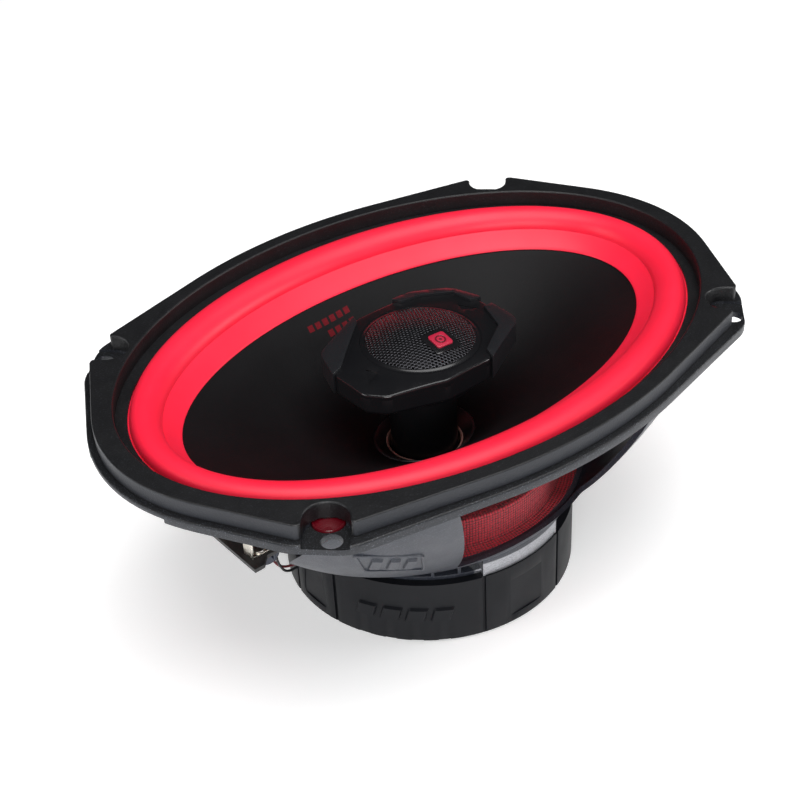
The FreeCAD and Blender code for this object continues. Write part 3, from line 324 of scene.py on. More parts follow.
def gasket_paint():
    """Grained black on top, a painted highlight that lightens the upright outer side wall, and glossy black
    notches.
    """
    paint = Paint("gasket_plastic", (0.0052, 0.0053, 0.0062), 0.46, specular=0.42)
    x, y, z = paint.axes()
    upright = paint.math("SUBTRACT", 1.0, paint.facing_up(0.2, 0.7))
    along = paint.math("SUBTRACT", paint.math("ABSOLUTE", x), NOTCH_CENTRE[0])
    across = paint.math("SUBTRACT", paint.math("ABSOLUTE", y), NOTCH_CENTRE[1])
    out = paint.math("ADD", paint.product(along, NOTCH_ACROSS),
                     paint.product(across, NOTCH_OUT))
    offset = paint.math("ABSOLUTE", paint.math("SUBTRACT", paint.product(along, NOTCH_OUT),
                                               paint.product(across, NOTCH_ACROSS)))
    notch = paint.product(upright, paint.range(offset, 7.3, 7.9, 1.0, 0.0),
                          paint.range(out, -8.2, -7.6))
    reach = paint.math("ADD", *(
        paint.math("POWER", paint.math("DIVIDE", axis, half), 2.0)
        for axis, half in zip((x, y), PAINTED_LIGHT_WALL_OVAL)))
    wall = paint.product(upright, paint.math("GREATER_THAN", reach, 1.0),
                         paint.math("SUBTRACT", 1.0, notch), paint.range(z, *PAINTED_LIGHT_WALL_FOOT))
    # Painted highlight: the upright outer wall, where the front light falls, is tinted paler.
    paint.tint(paint.product(wall, 0.9), (0.021, 0.023, 0.029))
    paint.grain(0.60, 0.12, 0.45, (0.040, 0.042, 0.050))
    paint.rougher(notch, -0.10)


def soft_paints():
    """Rubber, cone, glue, cloth and the voice coil's film and wire."""
    paint = Paint("surround_rubber", (0.94, 0.014, 0.046), 0.46, coat=0.10,
                  coat_roughness=0.35, specular=0.35, subsurface=0.12)
    paint.mottle(30.0, 3.0, 0.4, (1.0, 0.026, 0.070))
    paint.bump(paint.noise(0.35, 2.0), 0.012)
    paint.rougher(paint.range(paint.noise(12.0, 3.0), 0.3, 0.7, -0.5, 0.5), 0.06)

    # Painted shade: the tongues are the surround's rubber, painted far darker as if shaded in the gasket's
    # notches; the gloss is real.
    paint = Paint("shaded_tongue_gloss", (0.105, 0.002, 0.007), 0.24, coat=0.9, coat_roughness=0.06)
    paint.mottle(6.0, 3.0, 0.5, (0.05, 0.001, 0.003))
    paint.bump(paint.noise(0.5, 2.0), 0.012)

    paint = Paint("cone_poly", (0.0036, 0.0036, 0.0042), 0.52, specular=0.13)
    paint.mottle(18.0, 4.0, 0.5, (0.0060, 0.0060, 0.0068))
    paint.bump(paint.noise(0.5, 3.0), 0.05)
    paint.bump(paint.noise(2.2, 3.0), 0.05)

    paint = Paint("neck_glue", (0.007, 0.007, 0.008), 0.35)
    paint.bump(paint.noise(1.5, 3.0), 0.06)
    paint.speckle(2.5, 0.25, (0.03, 0.03, 0.034))

    weave("spider_cloth", (0.38, 0.009, 0.023), (0.010, 0.0005, 0.001), 1.05, 0.34, 0.30)

    paint = Paint("former_film", (0.40, 0.20, 0.16), 0.34)
    paint.mottle(2.0, 4.0, 0.6, (0.62, 0.36, 0.31))
    paint.bump(paint.noise(1.2, 2.0), 0.03)

    paint = Paint("coil_copper", (0.72, 0.30, 0.14), 0.32, metallic=1.0)
    wire = paint.math("ABSOLUTE", paint.math("SINE", paint.product(paint.axes()[2], 9.0)))
    paint.bump(wire, 0.08)
    paint.tint(paint.range(wire, 0.0, 0.35, 0.6, 0.0), (0.10, 0.03, 0.012))


def metal_paints():
    """Scratched metals, and the ferrite ring."""
    for name, color, rough in (("plated_steel", (0.60, 0.61, 0.63), 0.34),
                               ("screw_steel", (0.52, 0.52, 0.54), 0.30),
                               ("rivet_metal", (0.66, 0.64, 0.60), 0.30),
                               ("tab_metal", (0.78, 0.74, 0.66), 0.26),
                               ("neodymium", (0.62, 0.62, 0.62), 0.16),
                               ("insert_brass", (0.72, 0.55, 0.24), 0.28)):
        paint = Paint(name, color, rough, metallic=1.0)
        paint.bump(paint.noise(0.5, 4.0, (1.0, 1.0, 9.0)), 0.02)
        paint.tint(paint.range(paint.noise(1.6, 5.0), 0.35, 0.75, 0.0, 0.35),
                   tuple(0.55 * channel for channel in color))
        paint.rougher(paint.range(paint.noise(3.0, 4.0), 0.3, 0.7, -0.4, 0.6), 0.16)

    paint = Paint("ferrite", (0.035, 0.035, 0.038), 0.55, metallic=0.3)
    paint.grain(0.4, 0.05, 0.3, (0.12, 0.12, 0.125))


BADGE_CENTRE = (1.0, -9.3)


def pod_paints():
    """The boot's rubber, the pod's plastics, the grille and the badge."""
    paint = Paint("boot_rubber", (0.0045, 0.0050, 0.0068), 0.50, specular=0.22)
    paint.mottle(16.0, 4.0, 0.5, (0.0075, 0.0083, 0.0110))
    paint.grain(0.35, 0.03)

    paint = Paint("pod_plastic", (0.0058, 0.0059, 0.0070), 0.34, coat=0.55,
                  coat_roughness=0.14, specular=0.20)
    paint.grain(0.30, 0.018)

    paint = Paint("claw_plastic", (0.0120, 0.0125, 0.0145), 0.40, coat=0.35,
                  coat_roughness=0.18, specular=0.16)
    paint.grain(0.5, 0.05, 0.25, (0.03, 0.03, 0.034))

    paint = Paint("grille_metal", (0.040, 0.040, 0.045), 0.28, metallic=0.85)
    paint.grain(0.3, 0.02)

    paint = Paint("badge_black", (0.008, 0.008, 0.009), 0.15, coat=0.5, coat_roughness=0.05)
    paint.bump(paint.noise(1.0, 2.0), 0.008)
    paint.speckle(1.2, 0.15, (0.02, 0.02, 0.022))

    paint = Paint("badge_red", (0.40, 0.012, 0.040), 0.34, coat=0.2, coat_roughness=0.2)
    paint.mottle(2.5, 3.0, 0.35, (0.52, 0.03, 0.07))
    reach = paint.math("SQRT", paint.math("ADD", *(
        paint.math("POWER", paint.math("SUBTRACT", axis, centre), 2.0)
        for axis, centre in zip(paint.axes(), BADGE_CENTRE))))
    mark = paint.math("MAXIMUM", paint.inside(reach, 1.3, 1.9, 0.08),
                      paint.range(reach, 0.45, 0.6, 1.0, 0.0))
    paint.tint(paint.product(mark, 0.85), (0.05, 0.003, 0.006))
    paint.bump(mark, -0.10)
    paint.bump(paint.noise(0.8, 2.0), 0.01)


def small_paints():
    """The tweeter's film and felt, the board, the capacitor, the leads and the print."""
    weave("dome_film", (0.045, 0.045, 0.050), (0.012, 0.012, 0.014), 0.35, 0.04)

    paint = Paint("felt", (0.20, 0.20, 0.21), 0.95, sheen=0.4)
    paint.bump(paint.noise(0.4, 5.0, (1, 1, 0.3)), 0.2)
    paint.speckle(0.6, 0.5, (0.33, 0.33, 0.34))

    paint = Paint("board_fibre", (0.016, 0.016, 0.017), 0.45)
    paint.bump(paint.noise(0.6, 3.0, (1, 0.2, 1)), 0.04)
    paint.speckle(0.8, 0.4, (0.035, 0.034, 0.032))

    paint = Paint("capacitor_skin", (0.010, 0.014, 0.030), 0.26, coat=0.3)
    paint.bump(paint.noise(1.8, 2.0), 0.04)
    paint.speckle(3.0, 0.3, (0.020, 0.028, 0.055))

    weave("tinsel_braid", (0.70, 0.50, 0.40), (0.22, 0.13, 0.09), 0.45, 0.10, metallic=0.85)
    for name, color in (("lead_red", (0.10, 0.006, 0.010)),
                        ("lead_black", (0.008, 0.008, 0.009))):
        paint = Paint(name, color, 0.36)
        paint.bump(paint.noise(0.7, 2.0), 0.02)
        paint.speckle(1.4, 0.3, tuple(min(1.0, 1.6 * channel + 0.01) for channel in color))

    paint = Paint("printed_red", (0.13, 0.003, 0.008), 0.55, specular=0.12)
    paint.bump(paint.noise(0.5, 3.0), 0.03)
    paint.speckle(0.9, 0.6, (0.05, 0.002, 0.004))


def weave(name, thread, gap, pitch, depth, open_share=0.15, metallic=0.0):
    """Plain-woven threads over the UV plane, which is in millimetres."""
    paint = Paint(name, thread, 0.62, metallic=metallic, sheen=0.0 if metallic else 0.06)
    flat = paint.axes(paint.uv)
    across, along = (paint.math("SINE", paint.product(flat[axis], math.pi / pitch))
                     for axis in (0, 1))
    checker = paint.math("GREATER_THAN", paint.product(across, along), 0.0)

    def thread_height(across_power, along_power):
        return paint.product(
            paint.math("POWER", paint.math("ABSOLUTE", across), across_power),
            paint.math("POWER", paint.math("ABSOLUTE", along), along_power))

    blend = paint.node("ShaderNodeMix")
    paint.feed(checker, blend.inputs["Factor"])
    paint.feed(thread_height(0.6, 0.35), blend.inputs["A"])
    paint.feed(thread_height(0.35, 0.6), blend.inputs["B"])
    height = blend.outputs["Result"]
    paint.tint(paint.range(height, open_share, open_share + 0.6, 1.0, 0.0), gap)
    paint.tint(paint.range(paint.noise(1.4, 3.0), 0.35, 0.7, 0.0, 0.35),
               tuple(min(1.0, 1.5 * channel) for channel in thread))
    paint.bump(height, depth)


# ---------------------------------------------------------------- mesh helpers
def surface(name, points, faces, uvs=None, crease=40.0):
    """A smooth-shaded mesh object, sharp where faces meet at more than the crease angle."""
    mesh = bpy.data.meshes.new(name)
    mesh.from_pydata([tuple(point) for point in points], [], faces)
    if uvs is not None:
        layer = mesh.uv_layers.new(name="UVMap")
        flat = [uvs[index] for polygon in mesh.polygons for index in polygon.vertices]
        for corner, uv in zip(layer.data, flat):
            corner.uv = uv
    mesh.validate()
    mesh.shade_smooth()
    mesh.set_sharp_from_angle(angle=math.radians(crease))
    made = bpy.data.objects.new(name, mesh)
    SCENE.collection.objects.link(made)
    return made


def grid_faces(rows, columns):
    """Quads over a grid of points that is stored row by row."""
    faces = []
    for row in range(rows):
        for column in range(columns):
            first = row * (columns + 1) + column
            faces.append((first, first + 1, first + columns + 2, first + columns + 1))
    return faces


def finish_piece(piece, body, slot, paint, *replaced):
    """Paint a piece, hide the CAD nodes that it stands for, and let it ride. The slot argument is not used.
    """
    if not piece.data.materials:
        piece.data.materials.append(PAINTS[paint].material)
    if replaced:
        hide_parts(*replaced)
    if body:
        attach(piece, body)


def oval_shell(name, profile, segments=288, crease=40.0):
    """Sweep a closed profile of (long half, short half, level) in millimetres round the oval.

    The UV is in millimetres: round the oval at the profile's mean, and along the profile.
    """
    run = [0.0]
    for before, after in zip(profile, profile[1:]):
        step = math.dist(((before[0] + before[1]) / 2, before[2]),
                         ((after[0] + after[1]) / 2, after[2]))
        run.append(run[-1] + step)
    mean = sum(corner[0] + corner[1] for corner in profile) / (2 * len(profile))
    points, uvs, faces = [], [], []
    for column in range(segments + 1):
        turn = math.radians(360.0 * column / segments)
        for (long_half, short_half, level), travelled in zip(profile, run):
            points.append(Vector((long_half * math.cos(turn), short_half * math.sin(turn),
                                  level)) * MM)
            uvs.append((mean * math.radians(360.0) * column / segments, travelled))
    rows = len(profile)
    for column in range(segments):
        for row in range(rows):
            after = (row + 1) % rows
            faces.append((column * rows + row, (column + 1) * rows + row,
                          (column + 1) * rows + after, column * rows + after))
    return weld(surface(name, points, faces, uvs, crease), crease)


def weld(piece, crease=40.0):
    """Close the seam of a swept piece and turn its faces outward."""
    mesh = piece.data
    work = bmesh.new()
    work.from_mesh(mesh)
    bmesh.ops.remove_doubles(work, verts=work.verts, dist=1e-7)
    bmesh.ops.recalc_face_normals(work, faces=work.faces)
    work.to_mesh(mesh)
    work.free()
    mesh.shade_smooth()
    mesh.set_sharp_from_angle(angle=math.radians(crease))
    return piece


def smooth_step(share):
    share = max(0.0, min(1.0, share))
    return share * share * (3 - 2 * share)


def bend_with_cone(piece, weight, moving="cone"):
    """Let a piece follow the frame where its weight is 0 and the moving body where it is 1.

    The blend makes the attribute, and the weights here replace its straight ramp.
    """
    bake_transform(piece, "frame", moving, start=(0, 0, 0), end=(0.1, 0, 0))
    attribute = piece.data.attributes["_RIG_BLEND"]
    values = [weight(vertex.co / MM) for vertex in piece.data.vertices]
    attribute.data.foreach_set("value", np.array(values, np.float32))


# ---------------------------------------------------------------- surround
FOOT, VALLEY, BAND = (104.6, 70.8, 2.0), (94.9, 58.2, 0.4), (89.5, 51.2, -4.6)
CREST_LEVEL, LIP, LIP_TOP, LIP_BOTTOM = 6.2, (110.2, 76.9), 2.0, 1.25
SKIN, BAND_SAG = 0.7, 0.25
TONGUES, TONGUE_RADIUS, UNDER_GASKET = (80.3, 54.5), 5.1, 1.98


def roll(share, drop=0.0):
    """One oval of the half roll, a share of the way from its valley to its foot."""
    angle = math.pi * share
    middle = [(a + b) / 2 for a, b in zip(VALLEY, FOOT)]
    lean = [(b - a) / 2 for a, b in zip(VALLEY, FOOT)]
    rise = CREST_LEVEL - middle[2]
    return (middle[0] - lean[0] * math.cos(angle), middle[1] - lean[1] * math.cos(angle),
            middle[2] - lean[2] * math.cos(angle) + rise * math.sin(angle) - drop)


def oval_share(point, inner, outer):
    """How far out a point lies between two ovals, from 0 to 1."""
    def reach(oval):
        return math.hypot(point.x / oval[0], point.y / oval[1])
    near, far = reach(inner), reach(outer)
    if near <= 1:
        return 0.0
    if far >= 1:
        return 1.0
    return (near - 1) / ((near - 1) + (1 - far))


def make_surround():
    """Half roll with its glued band and its outer lip."""
    upper = [(BAND[0], BAND[1], BAND[2] - 0.25), (BAND[0] + 0.2, BAND[1] + 0.2, BAND[2] + 0.05)]
    for step in range(1, 9):
        share = step / 9
        sag = -BAND_SAG * math.sin(math.pi * share)
        upper.append((BAND[0] + (VALLEY[0] - BAND[0]) * share,
                      BAND[1] + (VALLEY[1] - BAND[1]) * share,
                      BAND[2] + (VALLEY[2] - BAND[2]) * share + sag))
    upper.append(VALLEY)
    upper += [roll(step / 48) for step in range(1, 48)]
    upper += [FOOT, (LIP[0] - 0.4, LIP[1] - 0.4, LIP_TOP)]
    lower = [(LIP[0] - 0.4, LIP[1] - 0.4, LIP_BOTTOM), (FOOT[0], FOOT[1], LIP_BOTTOM)]
    lower += [roll(step / 24, SKIN) for step in range(23, 0, -1)]
    lower += [(VALLEY[0], VALLEY[1], -0.2), (BAND[0], BAND[1], -5.0)]
    piece = oval_shell("surround_roll", upper + lower, 360, crease=38)
    finish_piece(piece, None, "surround_rubber", "surround_rubber", "surround")

    def weight(point):
        return 1.0 - smooth_step(oval_share(point, VALLEY, FOOT))

    bend_with_cone(piece, weight)


def make_lenses():
    """A glossy round lens on each tongue of the surround, seen through the gasket's notches."""
    edge, count = TONGUE_RADIUS - 0.1, 40
    tongue = [(0.0, 1.3), (edge, 1.3), (edge, 2.1), (edge - 0.2, 2.45), (edge - 0.6, 2.5),
              (edge - 0.9, 2.2), (edge - 1.4, 2.25), (edge - 2.6, 2.55), (0.0, 2.7)]
    for index, (sx, sy) in enumerate(((-1, -1), (1, -1), (1, 1), (-1, 1))):
        points, faces = [], []
        for radius, level in tongue:
            for step in range(count):
                turn = 2 * math.pi * step / count
                x = sx * TONGUES[0] + radius * math.cos(turn)
                y = sy * TONGUES[1] + radius * math.sin(turn)
                covered = math.hypot(x / (LIP[0] + 0.3), y / (LIP[1] + 0.3)) < 1
                height = min(level, UNDER_GASKET) if covered else level
                points.append(Vector((x, y, height)) * MM)
        for row in range(len(tongue) - 1):
            for step in range(count):
                after = (step + 1) % count
                faces.append((row * count + step, row * count + after,
                              (row + 1) * count + after, (row + 1) * count + step))
        lens = weld(surface(f"surround_tongue_{index}", points, faces))
        finish_piece(lens, "frame", "surround_rubber", "shaded_tongue_gloss")


# ---------------------------------------------------------------- cone
NECK_RADIUS, NECK_LEVEL, BAND_LEVEL, CONE_BEND = 13.0, -40.6, -5.4, 0.85
CONE_RIM, CONE_SKIN = (94.0, 57.1, -1.35), 0.6


def cone_face(share, drop=0.0):
    """One oval of the cone's face, a share of the way from its neck to the glued band."""
    return (NECK_RADIUS + (BAND[0] - NECK_RADIUS) * share,
            NECK_RADIUS + (BAND[1] - NECK_RADIUS) * share,
            NECK_LEVEL + (BAND_LEVEL - NECK_LEVEL) * share ** CONE_BEND - drop)


def cone_level(along, across):
    """Height of the cone's face over a plan point, in millimetres."""
    low, high = 0.0, 1.0
    for _ in range(40):
        middle = (low + high) / 2
        face = cone_face(middle)
        if math.hypot(along / face[0], across / face[1]) > 1:
            low = middle
        else:
            high = middle
    return cone_face(low)[2]


def make_cone():
    """The smooth cone, and the pale lip of the voice coil's former at its neck."""
    shares = [(step / 48) ** 1.15 for step in range(49)]    # closer rings near the neck
    upper = [cone_face(share) for share in shares] + [CONE_RIM]
    lower = [(CONE_RIM[0], CONE_RIM[1], CONE_RIM[2] - CONE_SKIN)]
    lower += [cone_face(share, CONE_SKIN) for share in reversed(shares)]
    piece = oval_shell("cone_shell", upper + lower, 288, crease=50)
    finish_piece(piece, "cone", "cone_poly", "cone_poly", "cone")

    lip = [(NECK_RADIUS + reach, NECK_RADIUS + reach, NECK_LEVEL + rise) for reach, rise in
           ((-0.2, 1.25), (0.0, 1.45), (0.5, 1.4), (0.75, 1.0), (0.6, 0.6), (0.02, 0.55))]
    edge = oval_shell("neck_lip", lip, 144, crease=60)
    finish_piece(edge, "cone", "former_film", "former_film")


PRINT_ROWS = ((6, -13.9, 44.3), (4, -7.5, 41.1))    # dashes, then the first one's corner
DASH = ((0.0, 0.0), (2.3, 0.14), (2.5, 2.14), (0.2, 2.0))
DASH_STEP, PRINT_LIFT = (3.3, 0.2), 0.06


def make_print():
    """Two rows of small printed dashes on the far side of the cone."""
    columns, rows = 10, 4
    for line, (count, start_x, start_y) in enumerate(PRINT_ROWS):
        for index in range(count):
            x, y = start_x + index * DASH_STEP[0], start_y + index * DASH_STEP[1]
            (x0, y0), (x1, y1), (x2, y2), (x3, y3) = [(x + dx, y + dy) for dx, dy in DASH]
            points = []
            for row in range(rows + 1):
                v = row / rows
                for column in range(columns + 1):
                    u = column / columns
                    px = (x0 * (1 - u) + x1 * u) * (1 - v) + (x3 * (1 - u) + x2 * u) * v
                    py = (y0 * (1 - u) + y1 * u) * (1 - v) + (y3 * (1 - u) + y2 * u) * v
                    points.append(Vector((px, py, cone_level(px, py) + PRINT_LIFT)) * MM)
            piece = surface(f"print_dash_{line}_{index}", points, grid_faces(rows, columns))
            finish_piece(piece, "cone", "cone_poly", "printed_red")


# ---------------------------------------------------------------- spider
SPIDER_WALL, SPIDER_FOOT, SPIDER_CROWN = 46.6, (57.2, 49.8), 44.6
SPIDER_FLOOR, SPIDER_TOP, SPIDER_INNER_LEVEL = -51.5, -39.8, -42.6
CLOTH, SHOULDER, WAVES, WAVE_STEPS = 0.5, 1.5, 6, 96
BOARD_EDGE, BOARD_HALF = -52.0, 9.2


def spider_profile():
    """Half section of the cup: its foot, wall, shoulder and corrugated disc, and back again."""
    wall, floor, top, inner_level = SPIDER_WALL, SPIDER_FLOOR, SPIDER_TOP, SPIDER_INNER_LEVEL
    face = [(wall + 0.9, floor + 0.62), (wall + 0.25, floor + 0.95), (wall, floor + 1.8)]
    for step in range(1, 9):
        face.append((wall, floor + 1.8 + (top - 1.6 - floor - 1.8) * step / 9))
    for step in range(0, 9):
        turn = math.pi / 2 * step / 8
        face.append((wall - SHOULDER + SHOULDER * math.cos(turn),
                     top - SHOULDER + SHOULDER * math.sin(turn)))
    for step in range(1, WAVE_STEPS + 1):
        share = step / WAVE_STEPS
        level = top + (inner_level - top) * share
        fade = min(1.0, share * 6, (1 - share) * 8 + 0.02)
        wave = -math.cos(2 * math.pi * WAVES * share + math.pi)
        level += fade * (-0.9 + 1.0 * wave) * 0.5
        face.append((SPIDER_CROWN + (NECK_RADIUS + 2 - SPIDER_CROWN) * share, level))
    face += [(NECK_RADIUS + 0.1, inner_level + 0.1)]
    back = [(radius - 0.02, level - CLOTH) if radius < wall - 1 else (radius - CLOTH, level)
            for radius, level in reversed(face[1:])]
    profile = [(*SPIDER_FOOT, floor + 0.5)]
    profile += [(radius, radius, level) for radius, level in face + back]
    profile += [(wall - CLOTH, wall - CLOTH, floor), (*SPIDER_FOOT, floor)]
    return profile


def make_spider():
    """The woven cup, with its foot cut off straight beside the terminal board."""
    piece = oval_shell("spider_cup", spider_profile(), 288, crease=60)
    for vertex in piece.data.vertices:
        if vertex.co.x < BOARD_EDGE * MM and abs(vertex.co.y) < BOARD_HALF * MM:
            vertex.co.x = BOARD_EDGE * MM
    planar = piece.data.uv_layers.active
    mesh = piece.data
    for polygon in mesh.polygons:
        centre = polygon.center / MM
        reach = math.hypot(centre.x, centre.y)
        middle = math.atan2(centre.y, centre.x)
        for corner in polygon.loop_indices:
            point = mesh.vertices[mesh.loops[corner].vertex_index].co / MM
            if reach < SPIDER_WALL - 2.4:
                planar.data[corner].uv = (point.x, point.y)
            else:
                turn = math.atan2(point.y, point.x) - middle
                turn = (turn + math.pi) % (2 * math.pi) - math.pi + middle
                on_wall = reach < SPIDER_WALL + 0.2
                rise = point.z if on_wall else -math.hypot(point.x, point.y)
                planar.data[corner].uv = (SPIDER_WALL * turn, rise)
    finish_piece(piece, None, "spider_cloth", "spider_cloth", "spider")

    def weight(point):
        reach = math.hypot(point.x, point.y)
        if reach > SPIDER_CROWN:
            return 0.0
        still = NECK_RADIUS + 2.5
        return 1.0 - smooth_step((reach - still) / (SPIDER_CROWN - still))

    bend_with_cone(piece, weight)


# ---------------------------------------------------------------- tweeter grille
GRILLE_RADIUS, GRILLE_RISE, CROWN = 19.6, 4.0, 2.0
BALL = (GRILLE_RADIUS ** 2 + GRILLE_RISE ** 2) / (2 * GRILLE_RISE)
MESH_THICKNESS, RIM_RADIUS = 0.35, 20.3


def ball_point(x, y, lift=0.0):
    """The point of the grille's dome over a plan point, lifted off it."""
    centre = CROWN + GRILLE_RISE - BALL
    radius = BALL + lift
    level = centre + math.sqrt(max(0.0, BALL ** 2 - x * x - y * y))
    normal = Vector((x, y, level - centre)).normalized()
    return Vector((0, 0, centre)) + normal * radius


def make_grille():
    """Perforated dome: a hexagon grid of round holes, folded into a plain rim."""
    pitch, hole, sides = 1.28, 0.40, 12
    limit = GRILLE_RADIUS - 0.1
    points, faces = [], []
    index_of = {}

    def vertex(x, y):
        key = (round(x, 4), round(y, 4))
        if key not in index_of:
            index_of[key] = len(points)
            points.append(ball_point(x, y) * MM)
        return index_of[key]

    rows = int(GRILLE_RADIUS / (pitch * math.sqrt(3) / 2)) + 2
    cell = [(pitch / math.sqrt(3) * math.cos(math.radians(30 + 60 * corner)),
             pitch / math.sqrt(3) * math.sin(math.radians(30 + 60 * corner)))
            for corner in range(6)]
    for row in range(-rows, rows + 1):
        for column in range(-rows, rows + 1):
            x = (column + (row % 2) / 2) * pitch
            y = row * pitch * math.sqrt(3) / 2
            if math.hypot(x, y) > limit - pitch * 0.5:
                continue
            outline = []
            for corner in range(6):
                a, b = cell[corner], cell[(corner + 1) % 6]
                outline.append((x + a[0], y + a[1]))
                outline.append((x + (a[0] + b[0]) / 2, y + (a[1] + b[1]) / 2))
            inner = [(x + hole * math.cos(math.radians(30 + 30 * side)),
                      y + hole * math.sin(math.radians(30 + 30 * side)))
                     for side in range(sides)]
            ring = [vertex(*point) for point in outline]
            core = [vertex(*point) for point in inner]
            for side in range(sides):
                after = (side + 1) % sides
                faces.append((ring[side], ring[after], core[after], core[side]))
    mesh_piece = surface("grille_mesh", points, faces)
    solid = mesh_piece.modifiers.new("thickness", "SOLIDIFY")
    solid.thickness = MESH_THICKNESS * MM
    solid.offset = -1.0
    finish_piece(mesh_piece, "frame", "grille_metal", "grille_metal", "tweeter_grille")
    weld(mesh_piece)

    def on_ball(radius, lift):
        point = ball_point(radius, 0, lift)
        return point.x, point.z

    inner, outer = GRILLE_RADIUS - 1.0, GRILLE_RADIUS
    profile = [on_ball(inner, 0.05), on_ball(inner + 0.3, 0.14), on_ball(outer - 0.3, 0.10),
               (outer, CROWN + 0.05), (RIM_RADIUS, CROWN - 0.05), (RIM_RADIUS, CROWN - 0.55),
               (outer - 0.7, CROWN - 0.5), on_ball(inner, -MESH_THICKNESS)]
    rim = oval_shell("grille_rim", [(radius, radius, level) for radius, level in profile],
                     160, crease=35)
    finish_piece(rim, "frame", "grille_metal", "pod_plastic")


# ---------------------------------------------------------------- raised bars and leads
BOOT_RADIUS = 52.0
BAR_STEP, DEGREES_PER_MM = 9.6, 1.1
ARM_TURN, ARM_RADIUS, ARM_SLOPE = 43.2, 82.0, 0.475
RAY_START = 0.13                # metres from the axis, outside the basket's wall
SOFT_EDGE, SUNK = 0.18, 0.08    # a raised bar's edge, as a share of it, and its depth in mm


def raised_bar(name, spot, rise, columns=14, rows=10):
    """A soft-edged raised patch; spot(u, v, lift) places it, with u and v from -1 to 1."""
    points = []
    for row in range(rows + 1):
        for column in range(columns + 1):
            u, v = column / columns * 2 - 1, row / rows * 2 - 1
            lift = rise * smooth_step((1 - max(abs(u), abs(v))) / SOFT_EDGE) - SUNK
            points.append(spot(u, v, lift))
    return surface(name, points, grid_faces(rows, columns))


def make_boot_bars():
    """Plain raised bars moulded on two sides of the boot."""
    low, high, half, lean = -77.2, -71.4, 3.5, 1.6
    for side, middle in (("front", -139.5), ("back", 40.5)):
        for index in range(4):
            centre = middle + (index - 1.5) * BAR_STEP

            def spot(u, v, lift, centre=centre):
                turn = math.radians(centre + (half * u + lean * v / 2) * DEGREES_PER_MM)
                level = (low + high) / 2 + (high - low) / 2 * v
                reach = BOOT_RADIUS + lift
                return Vector((reach * math.cos(turn), reach * math.sin(turn), level)) * MM

            piece = raised_bar(f"boot_bar_{side}_{index}", spot, 1.1)
            finish_piece(piece, "frame", "boot_rubber", "boot_rubber")


def make_arm_panels():
    """A raised outline with slanted plain bars in it, on two of the basket's arms."""
    wall = BVHTree.FromObject(NODES["basket"], bpy.context.evaluated_depsgraph_get())

    def on_arm(sign, u, v, lift):
        """The point of the arm's skin at u mm round it and v mm up it, lifted off it."""
        turn = math.radians(ARM_TURN) + u / ARM_RADIUS
        out = Vector((math.cos(turn), math.sin(turn), 0)) * sign
        start = out * RAY_START + Vector((0, 0, (v - ARM_SLOPE * u) * MM))
        spot, normal = wall.ray_cast(start, -out)[:2]
        return spot + normal * lift * MM

    section = ((-0.65, -0.2), (-0.45, 0.6), (0.0, 0.75), (0.45, 0.6), (0.65, -0.2))
    half_u, half_v, middle_v, corner = 9.0, 6.5, -26.3, 1.2
    bar_step, bar_half, bar_lean, bar_high = 4.8, 1.5, 1.2, 4.2
    for side, sign in (("front", -1), ("back", 1)):
        stations = []
        for quarter, (su, sv) in enumerate(((1, 1), (-1, 1), (-1, -1), (1, -1))):
            for step in range(7):
                angle = math.pi / 2 * (quarter + step / 6)
                stations.append((su * (half_u - corner), sv * (half_v - corner), angle))
        count, rows = len(stations), len(section)
        points, faces = [], []
        for centre_u, centre_v, angle in stations:
            for offset, lift in section:
                reach = corner + offset
                points.append(on_arm(sign, centre_u + reach * math.cos(angle),
                                     middle_v + centre_v + reach * math.sin(angle), lift))
        for station in range(count):
            after = (station + 1) % count
            for row in range(rows - 1):
                faces.append((station * rows + row, after * rows + row,
                              after * rows + row + 1, station * rows + row + 1))
        piece = surface(f"arm_outline_{side}", points, faces)
        finish_piece(piece, "frame", "basket_paint", "basket_paint")
        for index in range(3):
            middle_u = (index - 1) * bar_step

            def spot(u, v, lift, sign=sign, middle_u=middle_u):
                return on_arm(sign, middle_u + bar_half * u + bar_lean * v,
                              middle_v + bar_high * v, lift)

            piece = raised_bar(f"arm_bar_{side}_{index}", spot, 0.9)
            finish_piece(piece, "frame", "basket_paint", "basket_paint")


LEAD_ROUTE = [(-72.1, 9.0, -39.2), (-72.1, 9.0, -34.8), (-67.0, 9.0, -31.8),
              (-61.0, 8.8, -31.4), (-54.5, 8.4, -33.0), (-48.0, 8.0, -35.0),
              (-42.5, 8.0, -35.2), (-39.2, 8.0, -33.0), (-38.4, 8.0, -30.4)]
LEAD_RADIUS = 0.75


def lead_path(name, side):
    """Points along a lead's smoothed route, in metres."""
    curve = bpy.data.curves.new(name + "_path", "CURVE")
    curve.dimensions = "3D"
    curve.resolution_u = 12
    spline = curve.splines.new("NURBS")
    spline.points.add(len(LEAD_ROUTE) - 1)
    for point, (x, y, z) in zip(spline.points, LEAD_ROUTE):
        point.co = (x * MM, side * y * MM, z * MM, 1.0)
    spline.order_u = 3
    spline.use_endpoint_u = True
    holder = bpy.data.objects.new(name + "_path", curve)
    line = bpy.data.meshes.new_from_object(holder)
    path = [vertex.co.copy() for vertex in line.vertices]
    bpy.data.objects.remove(holder)
    bpy.data.curves.remove(curve)
    bpy.data.meshes.remove(line)
    return path


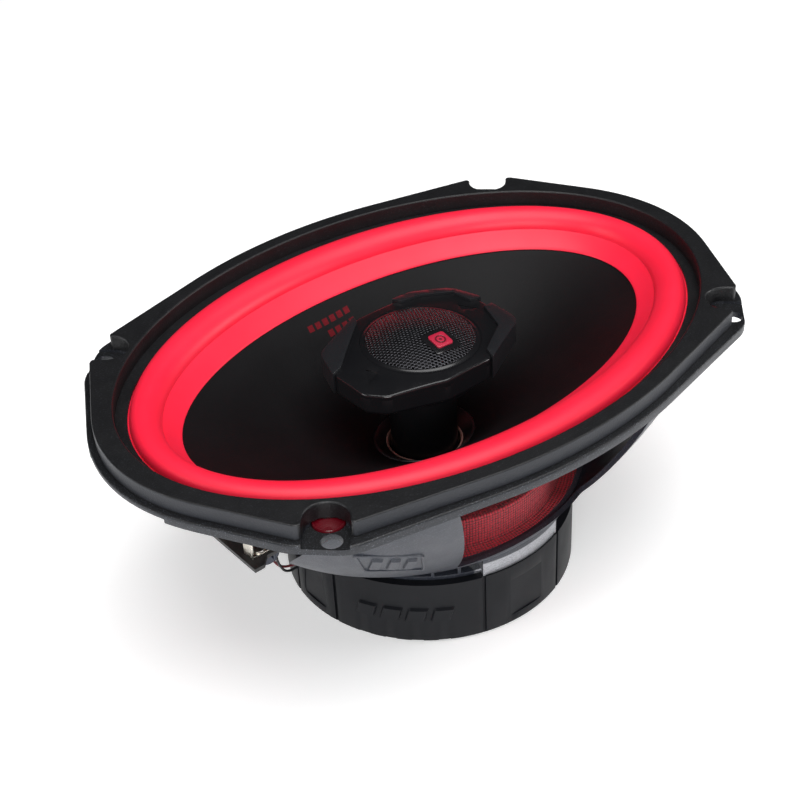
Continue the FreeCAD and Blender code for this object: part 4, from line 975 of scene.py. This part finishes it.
def make_leads():
    """Two braided leads that bend with the cone's travel."""
    count, across = 14, Vector((0, 1, 0))
    for name, side in (("tinsel_lead_positive", 1), ("tinsel_lead_negative", -1)):
        path = lead_path(name, side)
        points, uvs, run = [], [], 0.0
        for index, place in enumerate(path):
            ahead = path[min(index + 1, len(path) - 1)] - path[max(index - 1, 0)]
            normal = ahead.cross(across).normalized()
            if index:
                run += (place - path[index - 1]).length / MM
            for step in range(count + 1):
                turn = 2 * math.pi * step / count
                points.append(place + (normal * math.cos(turn) + across * math.sin(turn))
                              * LEAD_RADIUS * MM)
                uvs.append((turn * LEAD_RADIUS, run))
        faces = grid_faces(len(path) - 1, count)
        piece = weld(surface(name + "_braid", points, faces, uvs))
        finish_piece(piece, None, "tinsel_braid", "tinsel_braid", name)

        def weight(point, first=path[0] / MM, last=path[-1] / MM):
            return smooth_step((point.x - first.x) / (last.x - first.x))

        bend_with_cone(piece, weight)


# ---------------------------------------------------------------- carried-over nodes
BEVELS = {    # widths in millimetres
    "basket": 0.35, "tweeter_housing": 0.5, "tweeter_bezel": 0.15, "claw_left": 0.5,
    "claw_back": 0.5, "claw_right": 0.5, "magnet_boot": 0.25, "top_plate": 0.3,
    "terminal_board": 0.2, "terminal_tab_positive": 0.15, "terminal_tab_negative": 0.15,
    "tweeter_post": 0.3, "t_yoke": 0.3, "ferrite_magnet": 0.3, "terminal_rivets": 0.2,
    "board_screws": 0.2, "basket_screws": 0.3, "post_bolt": 0.3, "bolt_washer": 0.15,
    "neck_ring": 0.2, "badge": 0.12, "badge_frame": 0.1,
}


def dress_nodes():
    """Give every carried-over node its paint, and soften its machined edges."""
    owner = {part["node"]: part["material_slot"] for part in frame["record"]["subparts"]}
    for name, item in NODES.items():
        slot = item.material_slots[0]
        slot.material = PAINTS[owner[name]].material
        if name in BEVELS:
            merge = item.modifiers.new("merge", "WELD")
            merge.merge_threshold = 1e-6
            edge = item.modifiers.new("edge", "BEVEL")
            edge.width = BEVELS[name] * MM
            edge.segments = 2
            edge.limit_method = "ANGLE"
            edge.angle_limit = math.radians(35)
            edge.harden_normals = False
            edge.use_clamp_overlap = True


# ---------------------------------------------------------------- build
basket_paint()
gasket_paint()
soft_paints()
metal_paints()
pod_paints()
small_paints()
make_camera()
make_studio()
dress_nodes()
make_surround()
make_lenses()
make_cone()
make_print()
make_spider()
make_grille()
make_boot_bars()
make_arm_panels()
make_leads()
